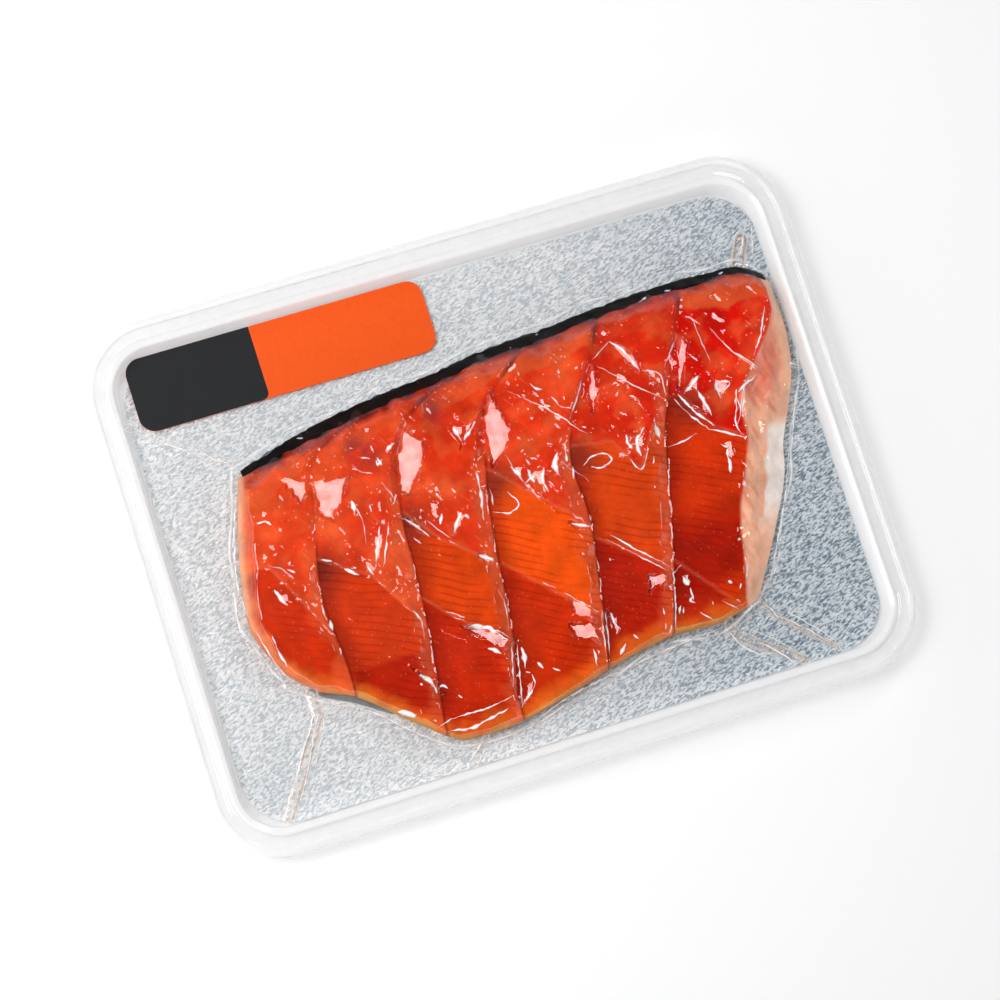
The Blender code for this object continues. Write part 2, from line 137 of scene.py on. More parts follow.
# Thickness of the fillet by how far across it a place is, from back to belly.
CROWN_THICKNESS = 11.6
THICKNESS = ((0.0, 7.6), (0.12, 9.8), (0.3, CROWN_THICKNESS), (0.45, 11.5), (0.6, 10.8), (0.8, 9.4),
             (1.0, 6.2))
BELLY_HEIGHT = 4.0
BELLY_SLOPE = 2.0
HEAD_HEIGHT = 4.2
HEAD_SLOPE = 2.0
TAIL_HEIGHT = 2.5
# How far in from the tail edge its slanting face reaches, at places along Y.
TAIL_FACE = ((-44, 4.0), (-34, 8.0), (-19, 13.0), (-4, 12.0), (8, 16.0), (16, 11.0), (25, 5.0), (36, 2.5))
SHOULDER = 0.35
RIBBON_FOOT = 0.7
RIBBON_SLOPE = 0.85
# Width of the skin's ribbon along the back edge.
RIBBON_WIDTH = ((-62, 1.5), (-52, 2.3), (-38, 3.2), (-24, 2.8), (0, 2.6), (30, 2.5), (60, 2.2), (80, 1.9),
                (86, 1.5))
# The ribbon's ends along X, its thickness, and how far it tucks in under the flesh.
SKIN_FROM = -62.0
SKIN_TO = 84.6
SKIN_THICKNESS = 0.3
SKIN_TUCK = 0.6
# Height of the flesh's underside.
FLESH_BOTTOM = 2.8
# Where the skin shows beside the belly: from and to along X, how far out, its height and its arch.
PEEK_FROM = -62.0
PEEK_TO = -43.0
PEEK_WIDTH = 1.7
PEEK_TUCK = 0.5
PEEK_HEIGHT = 1.86
PEEK_ARCH = 0.1

# Relief of the strips. Each rises from its left cut to its right one and drops over a short flank,
# and it steps down below the fold lines that the tight film pulls across it.
STRIP_WIDTH = 20.0
SHINGLE = 1.1
STEP_UPPER = 1.2
STEP_LOWER = 0.9
STEP_RUN = 7.0
RIGHT_RUN = 3.6
LINE_RUN = 2.0
NOTCH_DEPTH = 0.5
NOTCH_REACH = 3.0
NOTCH_INSET = 6.0
# Film folds across each strip, one entry for each: those of its upper half, then those of its lower half.
UPPER_FOLDS = (
    ((-63.4, 0), (-52.9, -20.6)), ((-50.9, -1.7), (-39.1, -9.6), (-29.5, -25.6)),
    ((-26.4, 3.5), (-19.4, -5.9), (-6.7, -16.5)), ((-2.4, 7.9), (9.3, -4.3), (18.7, -13.1)),
    ((20.0, 7.4), (30.7, 5.3), (35.4, -3.8), (42.8, 7.7)), ((51.2, 12.3), (57.3, 1.9), (64.9, -3.6)),
)
LOWER_FOLDS = (
    (), (), ((-29.1, -17.7), (-21.8, -25.8), (-9.7, -35.7)), ((-5.8, -16.2), (12.8, -35.1)),
    ((19.0, -16.5), (35.4, -30.1)), ((37.0, -28.4), (50.5, -44.7)),
)
# Height and reach of the ridge along those folds.
UPPER_RIDGE = (0.4, 0.8)
LOWER_RIDGE = (0.5, 0.6)
# Other folds: points, height and reach.
OTHER_FOLDS = (
    (((-39.1, -9.6), (-30.6, 2.1)), 0.7, 1.5), (((-9.7, -35.7), (-12.5, -44), (-13.9, -53.6)), 1.1, 1.0),
    (((14.6, -35.6), (12.5, -48.4)), 1.1, 1.0), (((35.1, -31.1), (31.1, -45.5)), 1.1, 1.0),
    (((12.6, 29.8), (16.3, 18.6), (21.7, 14.5), (25.8, 8.7)), 0.6, 1.6),
    (((31.6, 26.4), (41.2, 13.9), (47.4, 9.3)), 0.6, 1.6),
    (((38.7, 31.2), (43.3, 20.1), (48.2, 13.2)), 0.6, 1.4),
    (((82.9, 35.0), (80.2, 25.5), (73.5, 16.2), (74.3, 12.0), (67.0, 9.2), (64.9, -3.6)), 0.7, 1.4),
    (((64.9, -3.6), (61.2, -7.2), (58.4, -18.6), (54.2, -33.7), (51.6, -43.7)), 0.5, 1.2),
    (((-48.2, 26.0), (-46.8, 17.0), (-47.0, 8.0)), -0.9, 0.9),
    (((-56.2, 28.1), (-54.6, 24.9), (-53.7, 16.6)), -0.6, 1.0),
)
# Leaf-shaped facets beside the upper parts of some cuts: lower end, upper end, width and distance from
# the cut.
LEAVES = {2: (6.0, 25.5, 7.0, 0.0), 3: (7.5, 27.5, 6.6, 0.0), 4: (12.0, 28.0, 3.4, 1.6),
          5: (12.5, 28.5, 2.3, 1.4)}
# Flat facets where taut film mirrors the left softbox: their corners.
FLATS = (
    ((-54.2, 20.9), (-47.4, 18.2), (-50.2, 13.3)),
    ((-46.1, 17.9), (-37.1, 16.2), (-39.8, 12.4), (-44.0, 6.4), (-46.8, 9.0)),
    ((-20.0, 24.0), (-15.9, 19.1), (-18.0, 13.5), (-23.7, 7.5), (-25.3, 9.0), (-24.0, 16.0)),
    ((4.1, 26.1), (6.4, 15.5), (3.3, 10.8), (-0.8, 8.4), (0.3, 19.0)),
    ((-7.5, 21.3), (-4.5, 20.4), (-6.8, 16.9)), ((-6.5, 16.2), (-4.8, 19.9), (-1.2, 21.5)),
    ((-25.8, 20.4), (-23.1, 21.7), (-24.9, 19.6)), ((-38.5, 9.9), (-37.1, 9.0), (-38.3, 6.6)),
    ((-62.6, 12.1), (-60.5, 11.8), (-59.7, 10.0)),
    ((-19.5, 3.7), (-17.6, 3.4), (-18.4, -0.2), (-19.6, 0.2)),
    ((-16.1, -6.6), (-13.0, -0.8), (-10.4, -1.6), (-13.8, -4.2)),
    ((31.7, 26.2), (33.7, 23.5), (31.3, 18.9), (30.5, 13.8), (28.2, 13.9), (28.9, 19.6)),
    ((56.0, 27.1), (57.5, 24.2), (52.3, 13.2), (51.5, 14.0)),
    ((39.3, 29.6), (43.6, 24.8), (43.3, 20.4), (40.5, 24.5)), ((44.2, 21.3), (46.7, 19.7), (47.9, 13.4)),
    ((53.5, 14.0), (57.2, 15.9), (56.3, 11.2)), ((56.2, 10.4), (57.7, 4.5), (55.6, 6.0)),
    ((61.2, 13.4), (65.3, 11.9), (61.4, 8.2)), ((34.6, 5.6), (36.1, 5.4), (35.0, 2.2)),
    ((35.6, 3.4), (39.9, 6.3), (37.3, 0.9)), ((42.4, 8.0), (44.3, 3.5), (43.0, 3.3)),
    ((3.4, 6.6), (6.6, 5.6), (4.7, 3.3)), ((6.8, 3.6), (11.4, 3.8), (10.6, -1.6)),
    ((12.4, 4.0), (16.8, 6.4), (14.4, 0.8)), ((4.5, 1.6), (7.2, 0.0), (9.2, -4.8)),
    ((57.4, -2.4), (60.7, -3.3), (59.8, -7.8)), ((-35.6, -0.4), (-33.4, -0.5), (-37.2, -8.6)),
    ((-27.2, 2.1), (-24.9, 1.1), (-21.6, -4.5), (-24.0, -2.5)),
    ((-40.2, -5.4), (-38.4, -9.7), (-37.3, -8.3)),
    ((-20.5, -28.8), (-15.4, -30.6), (-9.8, -35.4), (-12.9, -37.4)),
    ((-11.4, -12.8), (-7.9, -14.6), (-9.7, -15.4)),
    ((-63.7, -6.3), (-61.7, -7.9), (-59.8, -10.8), (-61.9, -10.1)),
    ((-45.4, -5.9), (-42.5, -7.4), (-43.6, -8.4)), ((-34.7, -36.9), (-31.8, -40.0), (-31.2, -42.1)),
    ((-42.3, -44.0), (-40.0, -44.7), (-38.5, -46.7)),
    ((7.7, -29.9), (9.2, -30.4), (12.6, -34.6), (11.9, -37.0), (8.0, -34.4)),
    ((5.9, -35.9), (11.7, -37.9), (12.0, -42.5), (6.4, -39.6)),
    ((29.1, -29.6), (34.0, -31.2), (33.2, -33.0), (28.2, -34.0)),
    ((37.9, -32.3), (39.0, -32.6), (39.3, -35.4), (38.0, -34.7)),
    ((13.5, -11.4), (18.6, -12.8), (15.7, -13.8)), ((16.8, -36.8), (18.4, -40.8), (16.7, -42.6)),
    ((-11.7, -52.0), (-8.8, -47.0), (-6.9, -47.1), (-9.1, -51.0)),
)
FLAT_EDGE = 0.4
# Creases in the film, painted white as painted highlights: width, and the points of its line.
CREASES = (
    (0.45, ((-30.9, 1.9), (-35.5, -8.5))), (0.8, ((-33.4, 1.6), (-37.5, -7.9))),
    (0.6, ((-39.4, -7.3), (-38.6, -9.7))), (0.7, ((-27.2, 2.0), (-25.3, 0.3), (-22.0, -4.5))),
    (0.4, ((-23.7, -23.7), (-19.5, -26.6))),
    (1.0, ((-20.5, -28.9), (-17.2, -29.6), (-11.9, -33.1), (-9.3, -35.8))),
    (0.5, ((-9.9, -36.3), (-12.8, -47.0))), (0.5, ((-8.5, -36.2), (-11.9, -52.6))),
    (1.3, ((-63.6, -6.0), (-62.6, -8.7), (-61.6, -10.6))),
    (0.8, ((-34.7, -36.9), (-33.0, -39.3), (-31.7, -41.9))),
    (0.5, ((-34.6, -51.2), (-30.5, -50.1), (-25.9, -50.1), (-21.4, -50.2), (-13.9, -49.3))),
    (0.9, ((-31.3, -52.7), (-26.5, -53.7), (-21.2, -52.9), (-15.8, -51.9))),
    (0.5, ((23.0, -17.2), (29.0, -23.9), (35.5, -29.9))),
    (0.35, ((21.6, -18.1), (28.6, -25.1), (34.4, -30.6))), (0.35, ((2.4, -23.9), (5.3, -26.6))),
    (0.45, ((6.7, -28.1), (13.8, -35.4))), (0.4, ((14.7, -34.9), (13.6, -40.8), (12.5, -46.6))),
    (0.4, ((15.7, -35.8), (13.6, -46.5))), (0.45, ((36.0, -29.8), (34.1, -37.9), (32.0, -45.1))),
    (0.6, ((17.0, -36.2), (17.2, -38.7), (18.2, -41.4))),
    (0.6, ((-12.2, -52.3), (-9.7, -50.4), (-7.0, -47.0), (-7.2, -45.3))),
    (0.9, ((38.4, 30.9), (41.1, 26.8), (43.2, 20.7))), (0.5, ((43.9, 21.0), (47.6, 18.8), (47.7, 13.3))),
    (0.45, ((80.1, 27.9), (76.5, 21.2), (73.1, 16.2))), (0.45, ((68.5, 18.5), (73.3, 12.9))),
    (0.5, ((72.8, 11.4), (66.4, 8.9))), (0.7, ((50.7, 12.4), (53.7, 6.6), (57.3, 1.7))),
    (0.5, ((49.5, 11.4), (52.6, 5.8), (56.0, 1.2))), (0.5, ((56.1, 1.3), (64.1, -3.6))),
    (0.5, ((65.1, 6.6), (63.0, -1.3), (64.1, -3.6))), (0.45, ((44.4, 0.1), (48.3, 0.3), (52.4, 1.2))),
    (0.5, ((38.8, 0.6), (35.2, -3.7), (33.5, -0.5))),
    (0.5, ((21.7, 1.7), (24.1, 3.2), (28.5, 2.4), (29.1, 1.1), (25.2, -0.2))),
    (0.6, ((-4.4, -2.9), (0.5, -4.4), (2.5, -3.3), (0.8, 0.7))),
    (0.9, ((-5.4, 8.2), (-5.9, 3.2), (-7.3, -4.4))), (0.5, ((-3.2, 3.2), (-3.6, -1.2))),
    (0.6, ((-32.7, 20.1), (-31.3, 19.4))), (0.6, ((-28.6, 18.8), (-28.0, 16.5))),
    (1.0, ((14.0, -11.7), (18.4, -13.9))), (0.4, ((38.1, -30.0), (35.3, -31.6))),
    (0.7, ((38.7, -36.2), (38.7, -39.4))), (0.4, ((39.4, -42.8), (42.4, -45.9))),
    (0.5, ((-35.2, 18.9), (-33.8, 16.6), (-31.1, 15.2))), (1.2, ((-46.9, 31.0), (-44.1, 30.4))),
    (1.2, ((-26.5, 33.6), (-24.2, 34.8), (-22.3, 35.6))), (0.84, ((-22.6, 34.6), (-19.3, 34.2))),
    (1.44, ((14.0, 37.7), (17.0, 38.5))), (1.2, ((34.6, 40.2), (36.9, 40.6))),
    (0.84, ((50.1, 39.3), (52.7, 40.5))), (0.84, ((19.2, 38.7), (22.7, 39.3))),
    (0.72, ((-55.8, 28.7), (-52.8, 29.7))), (0.72, ((57.3, 40.5), (59.6, 40.6))),
    (0.96, ((72.1, 41.2), (74.9, 41.2))), (1.2, ((82.7, 38.6), (84.6, 36.9))),
    (0.28, ((33.1, 25.6), (40.2, 18.0), (47.8, 11.3))), (0.25, ((38.4, 30.9), (35.3, 29.1), (32.6, 27.4))),
    (0.25, ((61.1, 31.4), (61.2, 25.0), (61.7, 18.2))), (0.28, ((64.5, 26.7), (68.2, 18.7), (72.8, 12.4))),
    (0.3, ((55.6, 27.2), (52.4, 23.4), (49.6, 19.9))), (0.28, ((9.0, 25.9), (16.6, 18.5), (25.1, 8.8))),
    (0.35, ((28.2, 23.2), (25.0, 18.4), (21.6, 14.0))), (0.7, ((15.0, 26.1), (16.1, 24.4), (17.7, 23.6))),
    (0.25, ((-29.2, 11.7), (-27.1, 5.9))), (0.25, ((-21.3, -0.4), (-19.3, -3.4), (-17.0, -6.3))),
    (0.45, ((19.5, 19.0), (20.9, 17.5), (23.0, 16.6))), (0.3, ((19.3, 21.0), (20.1, 18.5))),
    (0.4, ((65.2, 7.9), (65.2, 3.8), (63.2, 0.3))), (0.35, ((69.0, 10.9), (66.3, 6.2), (64.6, 2.6))),
    (0.3, ((37.6, 3.7), (33.1, 2.4))), (0.25, ((3.0, 10.0), (4.9, 3.2), (8.0, -3.7))),
    (0.25, ((16.0, 4.2), (19.1, 1.1), (22.0, -2.5))), (0.25, ((-38.4, 10.4), (-37.1, 4.6), (-38.0, -1.8))),
    (0.35, ((-63.3, 0.2), (-59.6, -2.3), (-58.2, -4.8))), (0.5, ((-50.2, -2.0), (-47.5, -3.3))),
    (0.7, ((-45.0, -6.3), (-42.9, -8.2))), (0.25, ((-31.6, -20.8), (-30.4, -23.8), (-30.8, -29.1))),
    (0.25, ((-9.1, -22.2), (-8.4, -26.4), (-9.6, -32.8))),
)
# Small wet glints where the film bends, painted white in the same way as painted highlights.
GLINTS = (
    (1.3, ((53.1, 12.3), (55.2, 13.7), (57.5, 15.3))), (1.1, ((56.0, 11.6), (56.8, 8.2), (57.5, 4.3))),
    (1.0, ((61.5, 13.2), (61.2, 10.5), (61.3, 7.9))), (0.7, ((62.1, 12.5), (64.7, 11.1), (62.6, 9.8))),
    (0.6, ((65.8, 8.9), (64.3, 5.3))), (0.6, ((70.0, 10.7), (66.2, 8.3))),
    (0.7, ((67.8, 8.4), (65.3, 2.7))), (1.3, ((34.4, 5.9), (34.3, 3.7), (34.8, 2.2))),
    (1.5, ((39.4, 6.4), (36.6, 3.6), (36.4, -0.4))), (1.2, ((42.7, 7.6), (42.6, 4.8), (42.9, 2.2))),
    (0.9, ((39.7, -1.5), (38.8, -3.1))), (1.2, ((3.5, 6.7), (4.3, 5.0), (5.2, 3.6))),
    (1.2, ((7.3, 4.6), (7.6, 2.6), (8.0, 0.9))), (1.0, ((11.4, 4.0), (10.2, 0.9), (10.7, -2.3))),
    (1.4, ((16.0, 6.7), (14.3, 3.8), (14.8, 0.7))), (0.8, ((7.8, 7.4), (8.3, 5.8))),
    (0.7, ((5.5, 1.5), (7.9, 2.5), (10.0, 2.7))), (1.0, ((18.3, 7.8), (18.1, 5.9), (17.7, 3.9))),
    (0.5, ((19.0, 2.3), (18.2, -0.9))), (0.8, ((23.6, 0.9), (25.2, 0.0), (27.1, -0.3))),
    (1.0, ((57.6, -3.2), (58.8, -4.3), (60.0, -4.8))), (1.2, ((58.6, -5.1), (58.4, -8.0), (57.8, -11.1))),
    (1.4, ((37.7, -32.6), (38.0, -34.0), (38.7, -35.5))),
    (0.7, ((38.6, -38.4), (37.9, -39.3), (38.9, -40.2))), (0.8, ((35.0, -39.6), (34.2, -41.7))),
    (0.6, ((35.8, -40.2), (35.2, -41.7))), (0.8, ((30.4, -39.1), (30.1, -40.7))),
    (0.7, ((29.7, -43.0), (29.4, -44.5))), (0.7, ((31.2, -43.9), (30.3, -45.7))),
    (0.6, ((21.0, -43.2), (22.0, -44.8))), (0.9, ((18.4, -45.0), (16.3, -47.1))),
    (1.5, ((-7.6, -38.1), (-7.8, -40.7), (-8.4, -43.5))), (0.5, ((-8.6, -44.3), (-7.5, -44.8))),
    (0.9, ((-4.8, -42.9), (-4.0, -44.8))), (0.4, ((-1.7, -45.4), (0.1, -46.6))),
    (0.7, ((48.8, -37.3), (49.4, -38.2))), (0.6, ((51.6, -38.8), (51.0, -40.2))),
    (1.0, ((55.1, -34.7), (54.3, -36.4), (53.4, -38.0))),
    (0.35, ((45.5, -41.8), (47.4, -43.2), (49.5, -45.1))),
    (1.4, ((-10.7, -13.2), (-9.2, -14.1), (-8.0, -15.2))), (0.6, ((9.8, -43.9), (9.6, -48.4))),
    (0.5, ((43.2, -41.1), (43.2, -41.9))), (1.2, ((-25.8, 20.0), (-24.5, 20.7), (-23.0, 21.1))),
    (0.6, ((-32.0, 19.9), (-30.4, 19.2))), (0.5, ((-29.0, 18.3), (-29.0, 17.1), (-27.4, 18.0))),
    (1.3, ((-7.6, 20.7), (-7.0, 18.7), (-6.6, 16.7))), (1.2, ((-6.1, 16.7), (-3.8, 18.5), (-1.7, 20.6))),
    (1.4, ((-17.4, 0.1), (-18.4, -2.4))), (1.8, ((-12.6, -1.0), (-14.1, -3.0), (-15.7, -5.3))),
    (1.0, ((-11.5, -1.8), (-11.0, -3.2))), (1.3, ((-38.2, 9.9), (-38.2, 7.9), (-38.6, 6.0))),
    (0.7, ((-34.0, 7.5), (-34.2, 5.8))), (1.3, ((-63.0, 11.3), (-61.1, 11.3), (-59.5, 9.9))),
    (0.8, ((-59.0, -2.0), (-57.4, -3.6))), (0.5, ((-53.8, -4.4), (-54.2, -6.3))),
    (1.0, ((-45.1, -6.0), (-43.6, -7.3), (-42.1, -8.6))),
    (0.7, ((-53.1, -13.5), (-53.2, -15.3), (-53.0, -17.0))), (0.9, ((-52.4, -17.2), (-52.3, -19.8))),
    (1.0, ((-31.5, -21.4), (-30.9, -22.7), (-30.5, -24.1))),
    (1.4, ((-11.3, -12.6), (-9.5, -13.6), (-7.8, -14.9))),
    (1.2, ((-20.7, -29.1), (-14.6, -31.0), (-11.0, -35.5))),
    (1.1, ((-16.2, -35.9), (-14.7, -36.9), (-13.4, -38.2))),
    (0.9, ((-35.2, -37.1), (-32.4, -39.5), (-31.9, -42.8))), (0.8, ((-35.2, -39.3), (-34.8, -39.9))),
    (0.6, ((-30.8, -41.5), (-29.7, -41.4), (-28.8, -42.5))),
    (1.4, ((-42.5, -44.2), (-40.5, -45.3), (-38.7, -46.8))), (0.6, ((-37.0, -45.5), (-37.1, -46.4))),
    (0.5, ((-33.0, -44.9), (-32.3, -45.6), (-32.3, -46.7))), (0.7, ((-26.8, -44.8), (-26.1, -45.8))),
    (0.6, ((-67.4, -16.9), (-67.1, -20.7), (-65.9, -25.2))),
)
# Folds of the spare film on the board, painted white in the same way as painted highlights.
BOARD_CREASES = (
    (0.55, ((-63.8, -33.4), (-63.1, -38.1), (-67.6, -45.5), (-72.5, -53.8), (-76.7, -60.4))),
    (0.35, ((-62.0, -32.9), (-61.8, -38.0), (-64.6, -43.8), (-69.5, -53.4), (-74.6, -61.3))),
    (0.3, ((-61.3, -35.8), (-60.7, -40.5), (-63.9, -46.7), (-68.7, -55.0), (-72.6, -60.9))),
    (0.5, ((48.3, -50.4), (54.7, -55.9), (60.6, -62.4))),
    (0.4, ((51.9, -50.4), (58.9, -56.7), (63.1, -61.5))),
    (0.55, ((46.2, -49.2), (47.9, -53.3), (52.5, -57.7), (57.4, -61.1))),
    (0.6, ((56.5, -44.2), (58.4, -46.7), (59.8, -49.9))),
    (0.35, ((60.0, -49.4), (64.5, -53.2), (68.2, -57.1), (72.2, -61.8))),
    (0.3, ((57.7, -44.0), (63.0, -49.5), (69.1, -56.0), (73.4, -61.4))),
    (0.5, ((79.8, 43.2), (81.5, 45.8), (83.8, 50.2), (86.1, 53.5))),
    (0.4, ((83.4, 41.3), (85.2, 47.5), (86.5, 52.2))), (0.4, ((86.9, 48.4), (87.4, 43.2), (88.0, 38.2))),
    (0.35, ((-85.6, 46.0), (-75.7, 39.2), (-66.2, 31.2), (-62.3, 28.1))),
    (0.3, ((-85.2, 44.7), (-75.0, 37.1), (-63.1, 27.2))),
    (0.5, ((-22.5, -56.9), (-25.7, -59.1), (-28.7, -61.9))),
    (0.35, ((-21.9, -58.1), (-24.5, -60.5), (-27.2, -62.9))),
    (0.5, ((76.0, -9.4), (72.1, -18.5), (65.9, -30.3), (59.2, -42.6))),
    (0.6, ((83.0, 5.5), (79.3, -4.0), (76.6, -10.1), (73.7, -16.2))),
    (0.5, ((81.7, 11.4), (84.0, 12.7), (85.7, 11.9))),
    (0.45, ((-64.5, 22.8), (-68.8, 10.5), (-71.6, -2.1), (-71.3, -11.6))),
    (0.35, ((-71.3, -12.4), (-68.3, -23.2), (-64.3, -31.6))),
    (0.4, ((-61.0, -36.4), (-54.4, -38.4), (-48.3, -41.9), (-41.5, -48.1), (-34.1, -54.3),
     (-28.5, -57.7))),
    (0.55, ((-10.8, -57.3), (-1.6, -54.0), (10.0, -51.6), (21.5, -50.0), (35.7, -48.5), (44.7, -47.9))),
)
CREASE_HEIGHT = 0.1
CREASE_GAP = 0.03
CREASE_STEP = 0.35
CREASE_ROWS = 5
PLEAT_LIFT = 0.3
# Facets of the flesh under the film, and smaller ones that only the film has: size and height.
FLESH_CRUMPLE = (4.6, 0.24)
FILM_CRUMPLE = (1.8, 0.34)
CALM_SHARE = 0.7

# Film
FILM_GAP = 0.14
FLESH_SHARE = 0.8
FILM_FINE_CELL = 0.37
FILM_COARSE_CELL = 0.47
# The fine part's lowest and highest X and Y, and how far past the fillet's outline it reaches.
FISH_FILM = (-76.0, 87.4, -61.0, 47.0)
FISH_MARGIN = 3.0
# How far the two parts overlap, and how far inside the fine part its height is still read.
FILM_OVERLAP = 0.6
FILM_EDGE = 0.8
FILM_FLOOR = 2.0
FILM_WALL_GAP = 0.3
# Film up the tray's wall and over its flange: distance out from the wall's foot, and height.
FILM_WALL = ((0.0, 2.0), (0.25, 2.6), (0.45, 3.6), (0.75, 5.2), (1.05, 6.8), (1.3, 7.9), (1.6, 8.3),
             (2.0, 8.42), (2.4, 8.42), (2.8, 8.42), (3.0, 8.3), (3.3, 8.1), (3.7, 8.1), (4.1, 8.1),
             (4.5, 8.1), (4.9, 8.1), (5.3, 8.15), (5.7, 8.4), (6.0, 8.42), (6.3, 8.42))
FILM_CEILING = 13.9
CEILING_BLEND = 0.12
# The film's foot round the fillet: its width, its height, and the most that the film climbs in it.
SKIRT = 2.3
TOE_HEIGHT = 0.9
TOE_CLIMB = 3
BRIDGE_RADIUS = 4.4
# Pleats where spare film stands up from the board: points, height, half width, share of amber oil in them.
PLEATS = (
    (((-86.2, 45.7), (-61.9, 29.1)), 0.25, 0.7, 0.1),
    (((-61.7, -32.9), (-61.8, -39.0), (-64.1, -42.9), (-76.2, -61.1)), 0.28, 1.4, 0.7),
    (((-22.7, -56.8), (-27.2, -62.3)), 0.25, 0.8, 0.3),
    (((46.6, -47.4), (48.3, -51.4), (62.9, -62.2)), 0.28, 1.2, 0.8),
    (((56.3, -44.1), (60.2, -49.9), (72.3, -61.6)), 0.25, 0.6, 0.6),
    (((79.5, 42.5), (82.5, 48.5)), 0.28, 1.8, 1.0), (((84.3, 12.2), (87.3, 11.4)), 0.25, 0.6, 0.3),
)

# Label
LABEL_LENGTH = 79.8
LABEL_WIDTH = 19.6
LABEL_CORNER = 4.2
LABEL_X = -42.9
LABEL_Y = 52.9
LABEL_BOTTOM = 2.6
LABEL_THICKNESS = 0.25
LABEL_DIVIDE = -49.0
FIELD_CORNER = 1.8
INK_THICKNESS = 0.03

# Flesh
STRIP_COLUMNS = 67
STRIP_ROWS = 196
RIB_SPACING = 2.1
RIB_SLANT = 0.46
# Streaks of fat: their direction, length and width.
STREAK_TURN = -58
STREAK_LENGTH = 6.0
STREAK_WIDTH = 0.55
# Dark purple places under the back edge.
SMOKY = ((-33.5, 23.5), (-31.0, 20.5), (-12.0, 30.0), (-10.6, 26.5), (20.5, 36.0), (-41.0, 27.5))
# Colours of each strip: below its lower fold, above its upper fold, and between them.
LOW_TONES = ("#B01A02", "#AE1802", "#C02002", "#C62602", "#B41204", "#B41E06")
UPPER_TONES = ("#E2441A", "#E2421A", "#E03A12", "#E63A14", "#DC2A0C", "#E01202")
SLAB_TONES = ("#CA3008", "#CC380A", "#DA4404", "#F05408", "#DC460C", "#D63604")
# How much paler each strip's rounded top is beside the back edge.
DOME_SHARES = (0.65, 0.3, 0.65, 0.8, 0.2, 0.8)
# Where the strips without a lower fold turn to their low tone.
LOW_LINE = -31.0


# ---------------------------------------------------------------- shape functions

def curve(points, at):
    """Smooth curve through a few (place, value) pairs, held level past its ends."""
    places, values = np.array(points, float).T
    slopes = np.gradient(values, places)
    at = np.clip(np.asarray(at, float), places[0], places[-1])
    i = np.clip(np.searchsorted(places, at) - 1, 0, len(places) - 2)
    span = places[i + 1] - places[i]
    t = (at - places[i]) / span
    rise = values[i + 1] - values[i]
    return (values[i] + t * t * (3 - 2 * t) * rise
            + span * t * (1 - t) * ((1 - t) * slopes[i] - t * slopes[i + 1]))


def cut_x(k, y):
    """Place along X of cut k at height y; cut 0 is the head edge and the last one the tail edge."""
    if k == 0:
        return curve(HEAD_EDGE, y)
    if k == LAST_STRIP + 1:
        return curve(TAIL_EDGE, y)
    return curve(tuple(zip(CUT_Y, CUTS[k - 1])), y)


def notch(k):
    """Where a cut reaches the back edge."""
    x = cut_x(k, CUT_Y[-1])
    return x, curve(BACK_EDGE, x)


def soft_min(a, b, radius):
    """The lower of two heights, with the corner between them rounded off."""
    low = np.minimum(a, b)
    return low - radius * np.log(np.exp((low - a) / radius) + np.exp((low - b) / radius))


def smooth_step(at, start, end):
    """0 before start, 1 after end, smooth between."""
    t = np.clip((at - start) / (end - start), 0, 1)
    return t * t * (3 - 2 * t)


def line_distance(x, y, points):
    """Distance from places to a line through a few points."""
    nearest = np.full(np.shape(x), 1e9)
    for (ax, ay), (bx, by) in zip(points, points[1:]):
        dx, dy = bx - ax, by - ay
        along = np.clip(((x - ax) * dx + (y - ay) * dy) / (dx * dx + dy * dy), 0, 1)
        nearest = np.minimum(nearest, np.hypot(x - ax - along * dx, y - ay - along * dy))
    return nearest


def line_y(points, x):
    """Place along Y of a line through a few points, at places along X."""
    return np.interp(x, *zip(*points))


def wave(x, y, length, seed, octaves=2):
    """Smooth uneven relief of a given wavelength, from sines in many directions, about -1 to 1."""
    rng = np.random.default_rng(seed)
    total = np.zeros(np.shape(x))
    weight = 0.0
    for octave in range(octaves):
        size = length / 2 ** octave
        for _ in range(9):
            turn, shift = rng.uniform(0, 2 * math.pi, 2)
            scale = rng.uniform(0.7, 1.4) * 2 * math.pi / size
            total = total + np.sin((x * math.cos(turn) + y * math.sin(turn)) * scale + shift) / 2 ** octave
        weight += 3.0 / 2 ** octave
    return total / weight


def crumple(x, y, spacing, seed):
    """Random flat facets that meet in sharp folds: heights on a bent triangle lattice, about -1 to 1."""
    count = 128
    heights = np.random.default_rng(seed).uniform(-1, 1, (count, count))
    u = (x + 0.4 * spacing * wave(x, y, 3.1 * spacing, seed + 1, 1)) / spacing
    v = (y + 0.4 * spacing * wave(x, y, 3.3 * spacing, seed + 2, 1)) / spacing / 0.866
    u = u - v / 2
    i, j = np.floor(u).astype(int), np.floor(v).astype(int)
    f, g = u - i, v - j
    here, right, up, far = (heights[(i + a) % count, (j + b) % count]
                            for a, b in ((0, 0), (1, 0), (0, 1), (1, 1)))
    near_half = here + (right - here) * f + (up - here) * g
    far_half = far + (up - far) * (1 - f) + (right - far) * (1 - g)
    return np.where(f + g < 1, near_half, far_half)


def fold_relief(x, y):
    """Sharp ridges and grooves, as tight film lifts and sinks along its folds."""
    relief = np.zeros(np.shape(x))
    lines = [(points, *UPPER_RIDGE) for points in UPPER_FOLDS]
    lines += [(points, *LOWER_RIDGE) for points in LOWER_FOLDS if points]
    along = np.clip(0.75 + 0.75 * wave(x, y, 13, SEED + 41), 0.15, 1.3)
    for points, height, reach in lines + list(OTHER_FOLDS):
        here = height * along * np.exp(-line_distance(x, y, points) / reach)
        relief = np.where(np.abs(here) > np.abs(relief), here, relief)
    return relief


def flesh_inset(x):
    """How far inside the back edge the flesh starts."""
    return curve(RIBBON_WIDTH, x) + 0.35 * wave(x, 0 * x, 8, SEED + 51)


